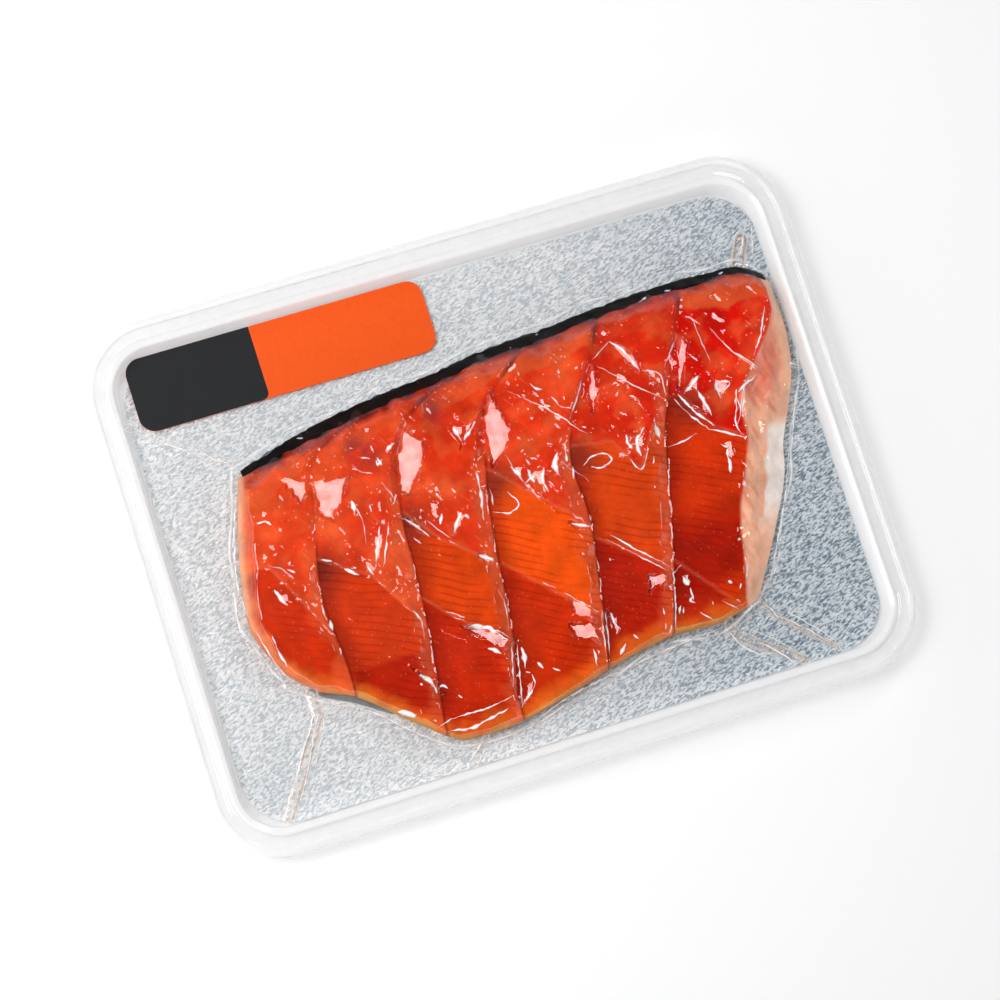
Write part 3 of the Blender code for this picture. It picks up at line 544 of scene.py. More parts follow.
def across_share(x, y):
    """How far across the fillet a point is: 0 at the back edge, 1 at the belly edge."""
    back = curve(BACK_EDGE, x)
    belly = curve(BELLY_EDGE, x)
    return np.clip((back - y) / (back - belly), 0, 1)


def edge_depths(x, y):
    """How far inside the back, belly, head and tail edges a point lies."""
    return (curve(BACK_EDGE, x) - y, y - curve(BELLY_EDGE, x),
            x - curve(HEAD_EDGE, y), curve(TAIL_EDGE, y) - x)


def strip_place(x, y):
    """Which strip a point is in, its distance from the cut at its left and the strip's width there."""
    edges = np.stack([cut_x(k, y) for k in range(LAST_STRIP + 2)])
    index = (x > edges[1:-1]).sum(axis=0)
    left = np.take_along_axis(edges, index[None], 0)[0]
    right = np.take_along_axis(edges, index[None] + 1, 0)[0]
    return index, x - left, right - left


def flank_mask(index, y):
    """1 where a strip's right side falls to its cut: from just above the next strip's fold downwards."""
    starts = np.array([folds[0][1] for folds in UPPER_FOLDS[1:]] + [-999.0])
    return smooth_step(starts[index] + 6 - y, 0, 5)


def right_run(x, y):
    """Width of the flank at a strip's right side."""
    return RIGHT_RUN * (1 + 0.35 * wave(x, y, 11, SEED + 3))


def left_sink(index, x, y):
    """How far the left side of a strip lies below its crown: more so below each fold line."""
    sink = np.full(np.shape(x), SHINGLE)
    for folds, step in ((UPPER_FOLDS, STEP_UPPER), (LOWER_FOLDS, STEP_LOWER)):
        for k, points in enumerate(folds):
            if points:
                sink = sink + step * smooth_step(line_y(points, x) - y, -0.3, STEP_RUN) * (index == k)
    return sink * (1 - 0.6 * smooth_step(across_share(x, y), 0.7, 0.92))


def leaf_lean():
    """How much steeper than its strip a leaf-shaped facet sinks towards its cut."""
    return facet_slope()[0] - SHINGLE / STRIP_WIDTH


def leaf_drop(cut, y):
    """How far the leaf-shaped facet at a cut's right side sinks at the cut."""
    if cut not in LEAVES:
        return np.zeros(np.shape(y))
    low, high, width = LEAVES[cut][:3]
    t = np.clip((y - low) / (high - low), 0, 1)
    return leaf_lean() * width * np.sin(math.pi * t) ** 0.7


def slab_share(x, y):
    """1 below a strip's upper fold line, where the flesh is smooth and the film lies flat on it."""
    index = strip_place(x, y)[0]
    share = np.zeros(np.shape(x))
    for k, points in enumerate(UPPER_FOLDS):
        share = share + smooth_step(line_y(points, x) - y, -0.6, 0.8) * (index == k)
    return share


def crown(x, y):
    """Height of the fillet's upper side over the board, away from its edges and without its flat facets."""
    index, into, width = strip_place(x, y)
    low_side = 1 - np.clip(into / (width - RIGHT_RUN), 0, 1)
    low_side = np.where(index == 0, 0.5 * low_side, low_side)
    top = curve(THICKNESS, across_share(x, y)) - SHINGLE * low_side
    top = top + (SHINGLE - left_sink(index, x, y)) * low_side
    for cut in range(1, LAST_STRIP + 1):
        offset = LEAVES[cut][3] if cut in LEAVES else 0
        leaf = np.clip(leaf_drop(cut, y) - leaf_lean() * np.clip(into - offset, 0, None), 0, None)
        top = top - leaf * (index == cut)
        run = LINE_RUN + (right_run(x, y) - LINE_RUN) * flank_mask(index, y)
        fall = left_sink(index + 1, x, y) + leaf_drop(cut, y)
        top = top - fall * np.clip(1 - (width - into) / run, 0, 1) * (index == cut - 1)
    for k in range(1, LAST_STRIP + 1):
        notch_x, back_y = notch(k)
        apart = ((x - notch_x) ** 2 + (y - (back_y - NOTCH_INSET)) ** 2) / NOTCH_REACH ** 2
        top = top - NOTCH_DEPTH * np.exp(-apart)
    spacing, height = FLESH_CRUMPLE
    return top + height * (1 - CALM_SHARE * slab_share(x, y)) * crumple(x, y, spacing, SEED)


def camera_turn():
    """The turn from the pack's axes to the camera's."""
    return (Matrix.Rotation(math.radians(CAMERA_TILT_X), 3, "X")
            @ Matrix.Rotation(math.radians(CAMERA_TILT_Y), 3, "Y")
            @ Matrix.Rotation(math.radians(CAMERA_ROLL), 3, "Z"))


def direction(azimuth, elevation):
    """Unit vector towards an azimuth from +X and an elevation, both in degrees."""
    a, e = math.radians(azimuth), math.radians(elevation)
    return Vector((math.cos(a) * math.cos(e), math.sin(a) * math.cos(e), math.sin(e)))


def facet_slope(x=0.0, y=0.0):
    """Slope along X and Y of film that mirrors the left softbox into the camera from a place."""
    here = Vector((x, y, BOARD_TOP + CROWN_THICKNESS))
    to_camera = (-(camera_turn().transposed() @ Vector(CAMERA_SHIFT)) - here).normalized()
    azimuth, elevation, away = LEFT_SOFTBOX[:3]
    half = to_camera + (direction(azimuth, elevation) * away / MM - here).normalized()
    return -half.x / half.z, -half.y / half.z


def polygon_depth(x, y, points):
    """How deep inside a convex outline places lie, below nought outside it."""
    points = np.array(points)
    after = np.roll(points, -1, axis=0)
    turn = np.sign(np.sum(points[:, 0] * after[:, 1] - after[:, 0] * points[:, 1]))
    depth = np.full(np.shape(x), 1e9)
    for (ax, ay), (bx, by) in zip(points, after):
        inside = turn * ((bx - ax) * (y - ay) - (by - ay) * (x - ax)) / math.hypot(bx - ax, by - ay)
        depth = np.minimum(depth, inside)
    return depth


def add_flats(x, y, top):
    """Level the surface, inside each flat facet, to a plane that mirrors the softbox."""
    ragged = 0.3 * wave(x, y, 2.6, SEED + 21) + 0.25 * crumple(x, y, 1.3, SEED + 22)
    for points in FLATS:
        corners = np.array(points, float)
        middle = corners.mean(axis=0)
        slope_x, slope_y = facet_slope(*middle)
        level = edged_height(*corners.T, 1.0).mean()
        plane = level + slope_x * (x - middle[0]) + slope_y * (y - middle[1])
        inside = smooth_step(polygon_depth(x, y, points) + ragged, -FLAT_EDGE, 0.05)
        top = top + inside * (plane - top)
    return top


def edged_height(x, y, fold_share):
    """Height over the board without the flat facets; past the edges the slopes run on down."""
    top = crown(x, y) + fold_share * fold_relief(x, y)
    back, belly, head, tail = edge_depths(x, y)
    uneven = wave(x, y, 9, SEED + 25, 3)
    face_run = curve(TAIL_FACE, y) * (1 + 0.15 * uneven)
    ribbon = RIBBON_FOOT + RIBBON_SLOPE * back
    sides = (ribbon + (0.5 + 0.3 * uneven) * np.clip(back - flesh_inset(x), 0, None),
             BELLY_HEIGHT + BELLY_SLOPE * belly + 0.6 * uneven,
             HEAD_HEIGHT + HEAD_SLOPE * head + 0.6 * uneven,
             TAIL_HEIGHT + (top - TAIL_HEIGHT) * tail / face_run)
    for side in sides:
        top = soft_min(top, side, SHOULDER)
    return top


def under_ceiling(top):
    """Keep the tallest places under the pack's own height."""
    return soft_min(top, np.full(np.shape(top), FILM_CEILING - BOARD_TOP), CEILING_BLEND)


def outline_points():
    """The fillet's outline as a closed run of points about a millimetre apart."""
    runs = []
    for edge, start, end, count in OUTLINE_RUNS:
        along = np.linspace(start, end, count)
        across = curve(edge, along)
        upright = edge in (HEAD_EDGE, TAIL_EDGE)
        runs.append(np.stack((across, along) if upright else (along, across), 1))
    return np.concatenate(runs)


def outline_distance(x, y):
    """Distance from points to the outline, below nought inside it."""
    line = outline_points()
    far = np.empty(x.size)
    flat_x, flat_y = x.ravel(), y.ravel()
    batch = 20000
    for first in range(0, x.size, batch):
        part = slice(first, first + batch)
        apart = (flat_x[part, None] - line[None, :, 0]) ** 2 + (flat_y[part, None] - line[None, :, 1]) ** 2
        far[part] = np.sqrt(apart.min(axis=1))
    inside = np.min(edge_depths(x, y), axis=0) > 0
    return np.where(inside, -far.reshape(x.shape), far.reshape(x.shape))


# ---------------------------------------------------------------- making pieces

def deselect():
    """Leave edit mode and select nothing."""
    if bpy.context.object and bpy.context.object.mode != "OBJECT":
        bpy.ops.object.mode_set(mode="OBJECT")
    bpy.ops.object.select_all(action="DESELECT")


def pick(made):
    """Select one object alone."""
    deselect()
    made.select_set(True)
    bpy.context.view_layer.objects.active = made


@contextmanager
def editing(made):
    """Work on one mesh in edit mode."""
    pick(made)
    bpy.ops.object.mode_set(mode="EDIT")
    yield
    bpy.ops.object.mode_set(mode="OBJECT")


def select_none(kind):
    """In edit mode, deselect everything; what is selected next is of one kind."""
    bpy.ops.mesh.select_mode(type=kind)
    bpy.ops.mesh.select_all(action="DESELECT")


def name_active(name):
    """Name the object just added, and its mesh."""
    made = bpy.context.object
    made.name = name
    made.data.name = name
    return made


def flat_plate(name, length, width, x, y, height):
    """A flat rectangle of a size at a place, with its place in its mesh."""
    deselect()
    bpy.ops.mesh.primitive_plane_add(size=1, location=(x * MM, y * MM, height * MM))
    made = name_active(name)
    made.scale = (length * MM, width * MM, 1)
    pick(made)
    bpy.ops.object.transform_apply(location=True, rotation=True, scale=True)
    return made


def coordinates(made):
    """A mesh's points, in millimetres."""
    points = np.empty(len(made.data.vertices) * 3, np.float32)
    made.data.vertices.foreach_get("co", points)
    return points.reshape(-1, 3).astype(float) / MM


def set_coordinates(made, x, y, z):
    """Move a mesh's points to places in millimetres."""
    points = np.stack([x, y, z], 1) * MM
    made.data.vertices.foreach_set("co", points.astype(np.float32).ravel())
    made.data.update()


def grid_piece(name, columns, rows):
    """A flat grid with one vertex for each pair of a column and a row, and each vertex's indices."""
    deselect()
    bpy.ops.mesh.primitive_grid_add(x_subdivisions=columns - 1, y_subdivisions=rows - 1, size=2)
    made = name_active(name)
    points = coordinates(made) * MM
    column = np.rint((points[:, 0] + 1) / 2 * (columns - 1)).astype(int)
    row = np.rint((points[:, 1] + 1) / 2 * (rows - 1)).astype(int)
    return made, column, row


def face_outwards():
    """Point all faces of the mesh in edit mode outwards."""
    bpy.ops.mesh.select_all(action="SELECT")
    bpy.ops.mesh.normals_make_consistent(inside=False)


def close_below(made, height):
    """Give an open sheet upright sides down to a flat underside."""
    with editing(made):
        select_none("EDGE")
        bpy.ops.mesh.select_non_manifold()
        bpy.ops.mesh.extrude_edges_move()
    for vert in made.data.vertices:
        if vert.select:
            vert.co.z = height * MM
    with editing(made):
        bpy.ops.mesh.edge_face_add()
        face_outwards()


def give_wall(made, thickness):
    """Turn an open sheet into a wall of one thickness below its face."""
    pick(made)
    wall = made.modifiers.new("wall", "SOLIDIFY")
    wall.thickness = thickness * MM
    wall.offset = -1
    bpy.ops.object.modifier_apply(modifier=wall.name)


def face_distance(made):
    """Distance of the middles of a mesh's faces from the fillet's outline, in millimetres."""
    middles = np.empty(len(made.data.polygons) * 3, np.float32)
    made.data.polygons.foreach_get("center", middles)
    return outline_distance(*(middles.reshape(-1, 3).astype(float) / MM).T[:2])


def delete_faces(made, chosen):
    """Delete some faces of a mesh."""
    with editing(made):
        select_none("FACE")
    made.data.polygons.foreach_set("select", chosen)
    with editing(made):
        bpy.ops.mesh.delete(type="FACE")


def smooth(made, angle=40):
    """Shade smooth, with edges sharper than an angle kept."""
    pick(made)
    bpy.ops.object.shade_smooth_by_angle(angle=math.radians(angle))


def dress(made, surface, slot, *nodes):
    """Give a piece its material, its place in the pack, and the solids it stands for."""
    made.data.materials.clear()
    made.data.materials.append(surface)
    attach(made, "root")
    if nodes:
        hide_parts(*nodes)
    return made


def point_attributes(made, **columns):
    """Store numbers for each point of a mesh, one attribute for each name."""
    for name, values in columns.items():
        attribute = made.data.attributes.new(name, "FLOAT", "POINT")
        attribute.data.foreach_set("value", np.asarray(values, np.float32))


# ---------------------------------------------------------------- materials

# A Mix node's sockets for colours.
MIX_A, MIX_B, MIX_RESULT = 6, 7, 2


def linear(hex_code):
    """A colour written as #RRGGBB, turned from sRGB to linear."""
    parts = [int(hex_code[i:i + 2], 16) / 255 for i in (1, 3, 5)]
    return (*[p / 12.92 if p <= 0.04045 else ((p + 0.055) / 1.055) ** 2.4 for p in parts], 1.0)


def add_node(tree, kind, inputs, take=0, **settings):
    """Add a node, set it up, link or fill its inputs, and give back one of its outputs."""
    made = tree.nodes.new("ShaderNode" + kind)
    for key, value in settings.items():
        setattr(made, key, value)
    for key, value in inputs.items():
        if isinstance(value, bpy.types.NodeSocket):
            tree.links.new(value, made.inputs[key])
        else:
            made.inputs[key].default_value = value
    return made.outputs[take]


def new_material(name):
    """A node material with nothing but its output node, and its tree."""
    made = bpy.data.materials.new(name)
    made.use_nodes = True
    made.node_tree.nodes.clear()
    made.node_tree.nodes.new("ShaderNodeOutputMaterial")
    return made, made.node_tree


def show(tree, shader):
    """Join the finished shader to a tree's output node."""
    output = next(node for node in tree.nodes if node.bl_idname.startswith("ShaderNodeOutput"))
    tree.links.new(shader, output.inputs["Surface"])


def clear_sheet(name, gloss_share, haze_share, roughness, ripples_per_mm, ripple_depth):
    """A clear plastic sheet: it lets light through, mirrors more of it at a slant, and is a little hazy."""
    made, tree = new_material(name)
    place = add_node(tree, "TexCoord", {}, "Object")
    # Where this attribute is set, the sheet is painted white: painted highlights on creases, glints, pleat
    # edges and the film's foot.
    milky = add_node(tree, "Attribute", {}, "Fac", attribute_name="milky")
    oily = add_node(tree, "Attribute", {}, "Fac", attribute_name="oily")
    ripples = add_node(tree, "TexNoise", {"Vector": place, "Scale": ripples_per_mm / MM, "Detail": 1.0})
    bump = add_node(tree, "Bump", {"Height": ripples, "Strength": 1.0, "Distance": ripple_depth * MM})
    facing = add_node(tree, "LayerWeight", {"Blend": 0.5, "Normal": bump}, "Facing")
    slant = add_node(tree, "Math", {0: facing, 1: 5.0}, operation="POWER")
    share = add_node(tree, "MapRange", {"Value": slant, "To Min": gloss_share, "To Max": 0.5})
    # Thin and thick places of the sheet, about 2.4 mm wide.
    clouds = add_node(tree, "TexNoise", {"Vector": place, "Scale": 0.42 / MM, "Detail": 1.0,
                                         "Roughness": 0.6})
    uneven = add_node(tree, "MapRange", {"Value": clouds, "From Min": 0.35, "From Max": 0.62, "To Min": 0.62,
                                         "To Max": 1.0})
    share = add_node(tree, "Math", {0: share, 1: uneven}, operation="MULTIPLY")
    oil = add_node(tree, "Mix", {"Factor": oily, MIX_A: linear("#FFFFFF"), MIX_B: linear("#E0A050")},
                   MIX_RESULT, data_type="RGBA")
    through = add_node(tree, "BsdfTransparent", {"Color": oil})
    milk = add_node(tree, "BsdfDiffuse", {"Color": linear("#FCFCFD")})
    haze = add_node(tree, "Math", {0: milky, 1: haze_share}, operation="ADD", use_clamp=True)
    body = add_node(tree, "MixShader", {"Fac": haze, 1: through, 2: milk})
    gloss = add_node(tree, "BsdfGlossy", {"Color": linear("#FFFFFF"), "Roughness": roughness, "Normal": bump})
    show(tree, add_node(tree, "MixShader", {"Fac": share, 1: body, 2: gloss}))
    return made


def tray_material():
    """Clear PET sheet, drawn hot into a mould: a grey-white haze, and soft, broad lights along its bends."""
    # Its shallow ripples are 3 mm wide.
    return clear_sheet("clear moulded tray plastic", gloss_share=0.03, haze_share=0.36, roughness=0.12,
                       ripples_per_mm=0.3, ripple_depth=0.02)


def film_material():
    """Thin film, melted on to the food under vacuum: clear and mirror-like, with ripples of 1.1 mm."""
    # Its creases, glints, pleat edges and foot round the fillet are painted white as painted highlights, and
    # it draws amber oil up into its pleats.
    return clear_sheet("clear skin film", gloss_share=0.06, haze_share=0.0, roughness=0.05,
                       ripples_per_mm=0.9, ripple_depth=0.025)


def silver_material():
    """Aluminium foil on card, rolled with a fine emboss: painted blue-grey shade in the dents, painted
    highlight on the turned-up rims.
    """
    # The dents are real ones, 1.1 x 0.46 mm. The board's colour is painted darker and bluer towards its lower
    # right, as painted shade.
    made, tree = new_material("embossed silver card")
    place = add_node(tree, "TexCoord", {}, "Object")
    turned = add_node(tree, "Mapping", {
        "Vector": place, "Rotation": (0, 0, math.radians(EMBOSS_TURN)),
        "Scale": (DENT_LENGTH * MM, DENT_WIDTH * MM, DENT_LENGTH * MM)}, vector_type="TEXTURE")
    grain = add_node(tree, "TexNoise", {"Vector": turned, "Scale": 1.0, "Detail": 1.5, "Roughness": 0.5,
                                        "Distortion": 0.6})
    bump = add_node(tree, "Bump", {"Height": grain, "Strength": 1.0, "Distance": 0.6 * MM})
    # Painted shade: the board's colour darkens and turns bluer along BOARD_SHADE.
    away = add_node(tree, "VectorMath", {0: place, 1: BOARD_SHADE}, "Value", operation="DOT_PRODUCT")
    shade = add_node(tree, "MapRange", {"Value": away, "From Min": SHADE_FROM * MM,
                                        "From Max": SHADE_TO * MM}, interpolation_type="SMOOTHSTEP")
    dent_painted_shade = add_node(tree, "Mix", {"Factor": shade, MIX_A: linear("#C6D0D8"), MIX_B: linear("#788EA0")},
                    MIX_RESULT, data_type="RGBA")
    rim = add_node(tree, "Mix", {"Factor": shade, MIX_A: linear("#FFFFFF"), MIX_B: linear("#E8EFF4")},
                   MIX_RESULT, data_type="RGBA")
    # Painted shade in the dents and painted highlight on the rims, by the emboss's height.
    height = add_node(tree, "MapRange", {"Value": grain, "From Min": 0.35, "From Max": 0.6},
                      interpolation_type="SMOOTHSTEP")
    tone = add_node(tree, "Mix", {"Factor": height, MIX_A: dent_painted_shade, MIX_B: rim}, MIX_RESULT, data_type="RGBA")
    show(tree, add_node(tree, "BsdfPrincipled", {"Base Color": tone, "Metallic": 0.2, "Roughness": 0.25,
                                                 "Normal": bump}))
    return made


def flesh_material():
    """Dried salmon: translucent, oily red flesh, with darker lines where its flakes meet and pale fat."""
    # Light sinks about a millimetre in and comes out red. The gloss is the film's, so the flesh has little.
    made, tree = new_material("dried salmon flesh")
    place = add_node(tree, "TexCoord", {}, "Object")
    tone = add_node(tree, "Attribute", {}, "Color", attribute_name="tone")
    rib = add_node(tree, "Attribute", {}, "Fac", attribute_name="rib")
    fat = add_node(tree, "Attribute", {}, "Fac", attribute_name="fat")
    # Soft clouds of 6 mm.
    cloud = add_node(tree, "TexNoise", {"Vector": place, "Scale": 0.16 / MM, "Detail": 3.0, "Roughness": 0.6})
    cloud = add_node(tree, "MapRange", {"Value": cloud, "From Min": 0.3, "From Max": 0.7, "To Min": 0.78,
                                        "To Max": 1.12})
    mixed = add_node(tree, "Mix", {"Factor": 1.0, MIX_A: tone, MIX_B: cloud}, MIX_RESULT,
                     data_type="RGBA", blend_type="MULTIPLY")
    # Flake lines 2.1 mm apart, bent by waves of 22 mm.
    across = add_node(tree, "VectorMath", {
        0: place, 1: (RIB_SLANT / RIB_SPACING / MM, 1 / RIB_SPACING / MM, 0)}, "Value",
        operation="DOT_PRODUCT")
    bend = add_node(tree, "TexNoise", {"Vector": place, "Scale": 0.045 / MM, "Detail": 2.0, "Roughness": 0.4})
    phase = add_node(tree, "Math", {0: bend, 1: 3.0, 2: across}, operation="MULTIPLY_ADD")
    turns = add_node(tree, "Math", {0: phase, 1: 2 * math.pi}, operation="MULTIPLY")
    line = add_node(tree, "Math", {0: turns}, operation="SINE")
    line = add_node(tree, "MapRange", {"Value": line, "From Min": 0.3, "From Max": 1.0},
                    interpolation_type="SMOOTHSTEP")
    line = add_node(tree, "Math", {0: line, 1: rib}, operation="MULTIPLY")
    mixed = add_node(tree, "Mix", {"Factor": line, MIX_A: mixed, MIX_B: linear("#F2CBBC")}, MIX_RESULT,
                     data_type="RGBA", blend_type="MULTIPLY")
    # Streaks of fat.
    turned = add_node(tree, "Mapping", {
        "Vector": place, "Rotation": (0, 0, math.radians(STREAK_TURN)),
        "Scale": (STREAK_LENGTH * MM, STREAK_WIDTH * MM, STREAK_LENGTH * MM)}, vector_type="TEXTURE")
    streak = add_node(tree, "TexNoise", {"Vector": turned, "Scale": 1.0, "Detail": 3.0, "Distortion": 0.3})
    streak = add_node(tree, "MapRange", {"Value": streak, "From Min": 0.60, "From Max": 0.78, "To Min": 0.0,
                                         "To Max": 0.22})
    streak = add_node(tree, "Math", {0: streak, 1: fat}, operation="MULTIPLY")
    mixed = add_node(tree, "Mix", {"Factor": streak, MIX_A: mixed, MIX_B: linear("#F2A88C")}, MIX_RESULT,
                     data_type="RGBA")
    # Specks of fat, 1.6 mm apart.
    speck = add_node(tree, "TexVoronoi", {"Vector": place, "Scale": 0.62 / MM})
    speck = add_node(tree, "MapRange", {"Value": speck, "From Min": 0.10, "From Max": 0.2, "To Min": 1.0,
                                        "To Max": 0.0})
    speck = add_node(tree, "Math", {0: speck, 1: fat}, operation="MULTIPLY")
    speck = add_node(tree, "Math", {0: speck, 1: 0.4}, operation="MULTIPLY", use_clamp=True)
    mixed = add_node(tree, "Mix", {"Factor": speck, MIX_A: mixed, MIX_B: linear("#F7C2AC")}, MIX_RESULT,
                     data_type="RGBA")
    show(tree, add_node(tree, "BsdfPrincipled", {
        "Base Color": mixed, "Roughness": 0.5, "Subsurface Weight": 0.25,
        "Subsurface Radius": (1.0, 0.3, 0.1), "Subsurface Scale": 1.2 * MM, "Specular IOR Level": 0.05}))
    return made


def skin_material():
    """The outer side of salmon skin: black and wet, with ridges of 3 mm that break up its gloss."""
    made, tree = new_material("wet black fish skin")
    place = add_node(tree, "TexCoord", {}, "Object")
    grain = add_node(tree, "TexNoise", {"Vector": place, "Scale": 0.35 / MM, "Detail": 2.0})
    bump = add_node(tree, "Bump", {"Height": grain, "Strength": 0.5, "Distance": 0.4 * MM})
    show(tree, add_node(tree, "BsdfPrincipled", {"Base Color": linear("#020203"), "Roughness": 0.3,
                                                 "Specular IOR Level": 0.15, "Normal": bump}))
    return made


def inner_skin_material():
    """The inner side of salmon skin: smooth, damp grey with lighter places of 3 mm."""
    made, tree = new_material("grey inner fish skin")
    place = add_node(tree, "TexCoord", {}, "Object")
    grain = add_node(tree, "TexNoise", {"Vector": place, "Scale": 0.3 / MM, "Detail": 2.0})
    tone = add_node(tree, "Mix", {"Factor": grain, MIX_A: linear("#5E6466"), MIX_B: linear("#8E9496")},
                    MIX_RESULT, data_type="RGBA")
    show(tree, add_node(tree, "BsdfPrincipled", {"Base Color": tone, "Roughness": 0.35}))
    return made


def print_material(name, hex_code):
    """Coated label paper, printed all over: flat, even ink with a soft sheen and a faint grain."""
    # The paper's own grain of 0.1 mm is finer than a pixel, so it is drawn coarser, at 1.1 mm.
    made, tree = new_material(name)
    place = add_node(tree, "TexCoord", {}, "Object")
    grain = add_node(tree, "TexNoise", {"Vector": place, "Scale": 0.9 / MM, "Detail": 3.0})
    shade = add_node(tree, "MapRange", {"Value": grain, "To Min": 0.9, "To Max": 1.06})
    tone = add_node(tree, "Mix", {"Factor": 1.0, MIX_A: linear(hex_code), MIX_B: shade}, MIX_RESULT,
                    data_type="RGBA", blend_type="MULTIPLY")
    bump = add_node(tree, "Bump", {"Height": grain, "Strength": 0.5, "Distance": 0.02 * MM})
    show(tree, add_node(tree, "BsdfPrincipled", {"Base Color": tone, "Roughness": 0.5,
                                                 "Specular IOR Level": 0.25, "Normal": bump}))
    return made


# ---------------------------------------------------------------- tray and board

def rounded_corner(before, corner, after, radius, steps=4):
    """Points of the arc that takes the place of a section's corner."""
    corner = Vector(corner)
    to_before = (Vector(before) - corner).normalized()
    to_after = (Vector(after) - corner).normalized()
    half = to_before.angle(to_after) / 2
    reach = radius / math.tan(half)
    middle = corner + (to_before + to_after).normalized() * (radius / math.sin(half))
    first = corner + to_before * reach - middle
    last = corner + to_after * reach - middle
    return [middle + first.slerp(last, step / steps) for step in range(steps + 1)]


def tray_section():
    """The tray's section with its bends rounded off, as (inset, height) points."""
    points = [Vector(TRAY_SECTION[0][:2])]
    for before, here, after in zip(TRAY_SECTION, TRAY_SECTION[1:], TRAY_SECTION[2:]):
        points += rounded_corner(before[:2], here[:2], after[:2], here[2])
    return points + [Vector(TRAY_SECTION[-1][:2])]


def make_tray():
    """The tray: a plate with round corners, set in ring by ring along its section, then given a wall."""
    made = flat_plate("clear_tray", TRAY_LENGTH, TRAY_WIDTH, 0, 0, TRAY_SECTION[0][1])
    with editing(made):
        bpy.ops.mesh.select_all(action="SELECT")
        bpy.ops.mesh.bevel(offset=TRAY_CORNER * MM, segments=CORNER_SEGMENTS, profile=0.5, affect="VERTICES")
        bpy.ops.mesh.select_mode(type="FACE")
        section = tray_section()
        for here, after in zip(section, section[1:]):
            bpy.ops.mesh.inset(thickness=(after[0] - here[0]) * MM, depth=0, use_even_offset=True)
            bpy.ops.transform.translate(value=(0, 0, (after[1] - here[1]) * MM))
    give_wall(made, SHEET)
    smooth(made, 30)
    return dress(made, tray_material(), "clear_tray", "tray")


def round_off(x, y, half_x, half_y, corner):
    """Pull a square-cornered ring of points on to one with round corners."""
    over_x = np.abs(x) - (half_x - corner)
    over_y = np.abs(y) - (half_y - corner)
    in_corner = (over_x > 0) & (over_y > 0)
    length = np.where(in_corner, np.hypot(over_x, over_y), 1)
    pull = np.where(in_corner, 1 - np.maximum(over_x, over_y) / length, 0)
    return x - np.sign(x) * over_x * pull, y - np.sign(y) * over_y * pull


def make_board():
    """The silver board, its face embossed all over."""
    columns = round(BOARD_LENGTH / BOARD_CELL) + 1
    rows = round(BOARD_WIDTH / BOARD_CELL) + 1
    made, column, row = grid_piece("silver_board", columns, rows)
    s = column / (columns - 1) * 2 - 1
    t = row / (rows - 1) * 2 - 1
    ring = np.maximum(np.abs(s), np.abs(t))
    half_x, half_y = BOARD_LENGTH / 2, BOARD_WIDTH / 2
    x, y = round_off(s * half_x, t * half_y, half_x * ring, half_y * ring, BOARD_CORNER * ring ** RING_POWER)
    turn = math.radians(EMBOSS_TURN)
    along = x * math.cos(turn) + y * math.sin(turn)
    aside = y * math.cos(turn) - x * math.sin(turn)
    emboss = wave(along / EMBOSS_STRETCH, aside, EMBOSS_LENGTH, SEED, 2)
    depth = EMBOSS_DEPTH * (0.5 + 0.5 * emboss) * np.clip((1 - ring) * EMBOSS_FADE, 0, 1)
    set_coordinates(made, x + BOARD_X, y + BOARD_Y, BOARD_TOP - depth)
    close_below(made, BOARD_TOP - BOARD_THICKNESS)
    smooth(made)
    return dress(made, silver_material(), "silver_board", "board")


# ---------------------------------------------------------------- fillet

def strip_corner(k, edge, at_back):
    """Where a strip's cut meets the back or the belly."""
    y = CUT_Y[-1] if at_back else CUT_Y[0]
    for _ in range(8):
        x = cut_x(edge, y) + (CUT_CLEARANCE if edge == k else -CUT_CLEARANCE)
        y = curve(BACK_EDGE, x) - flesh_inset(x) if at_back else curve(BELLY_EDGE, x)
    return np.array([float(x), float(y)])


def strip_plan(k, u, v):
    """Place of a strip's point: u runs from its left cut to its right one, v from back to belly."""
    p00, p10, p01, p11 = (strip_corner(k, k + a, back) for back in (True, False) for a in (0, 1))
    left_y = p00[1] + (p01[1] - p00[1]) * v
    right_y = p10[1] + (p11[1] - p10[1]) * v
    left = np.stack([cut_x(k, left_y) + CUT_CLEARANCE, left_y])
    right = np.stack([cut_x(k + 1, right_y) - CUT_CLEARANCE, right_y])
    top_x = p00[0] + (p10[0] - p00[0]) * u
    low_x = p01[0] + (p11[0] - p01[0]) * u
    top = np.stack([top_x, curve(BACK_EDGE, top_x) - flesh_inset(top_x)])
    low = np.stack([low_x, curve(BELLY_EDGE, low_x)])
    flat = ((1 - u) * (1 - v) * p00[:, None] + u * (1 - v) * p10[:, None]
            + (1 - u) * v * p01[:, None] + u * v * p11[:, None])
    return (1 - u) * left + u * right + (1 - v) * top + v * low - flat


def near(x, y, places, reach):
    """1 close to any of a few places, falling to 0 over a reach."""
    total = np.zeros(np.shape(x))
    for px, py in places:
        total = np.maximum(total, np.exp(-((x - px) ** 2 + (y - py) ** 2) / reach ** 2))
    return total


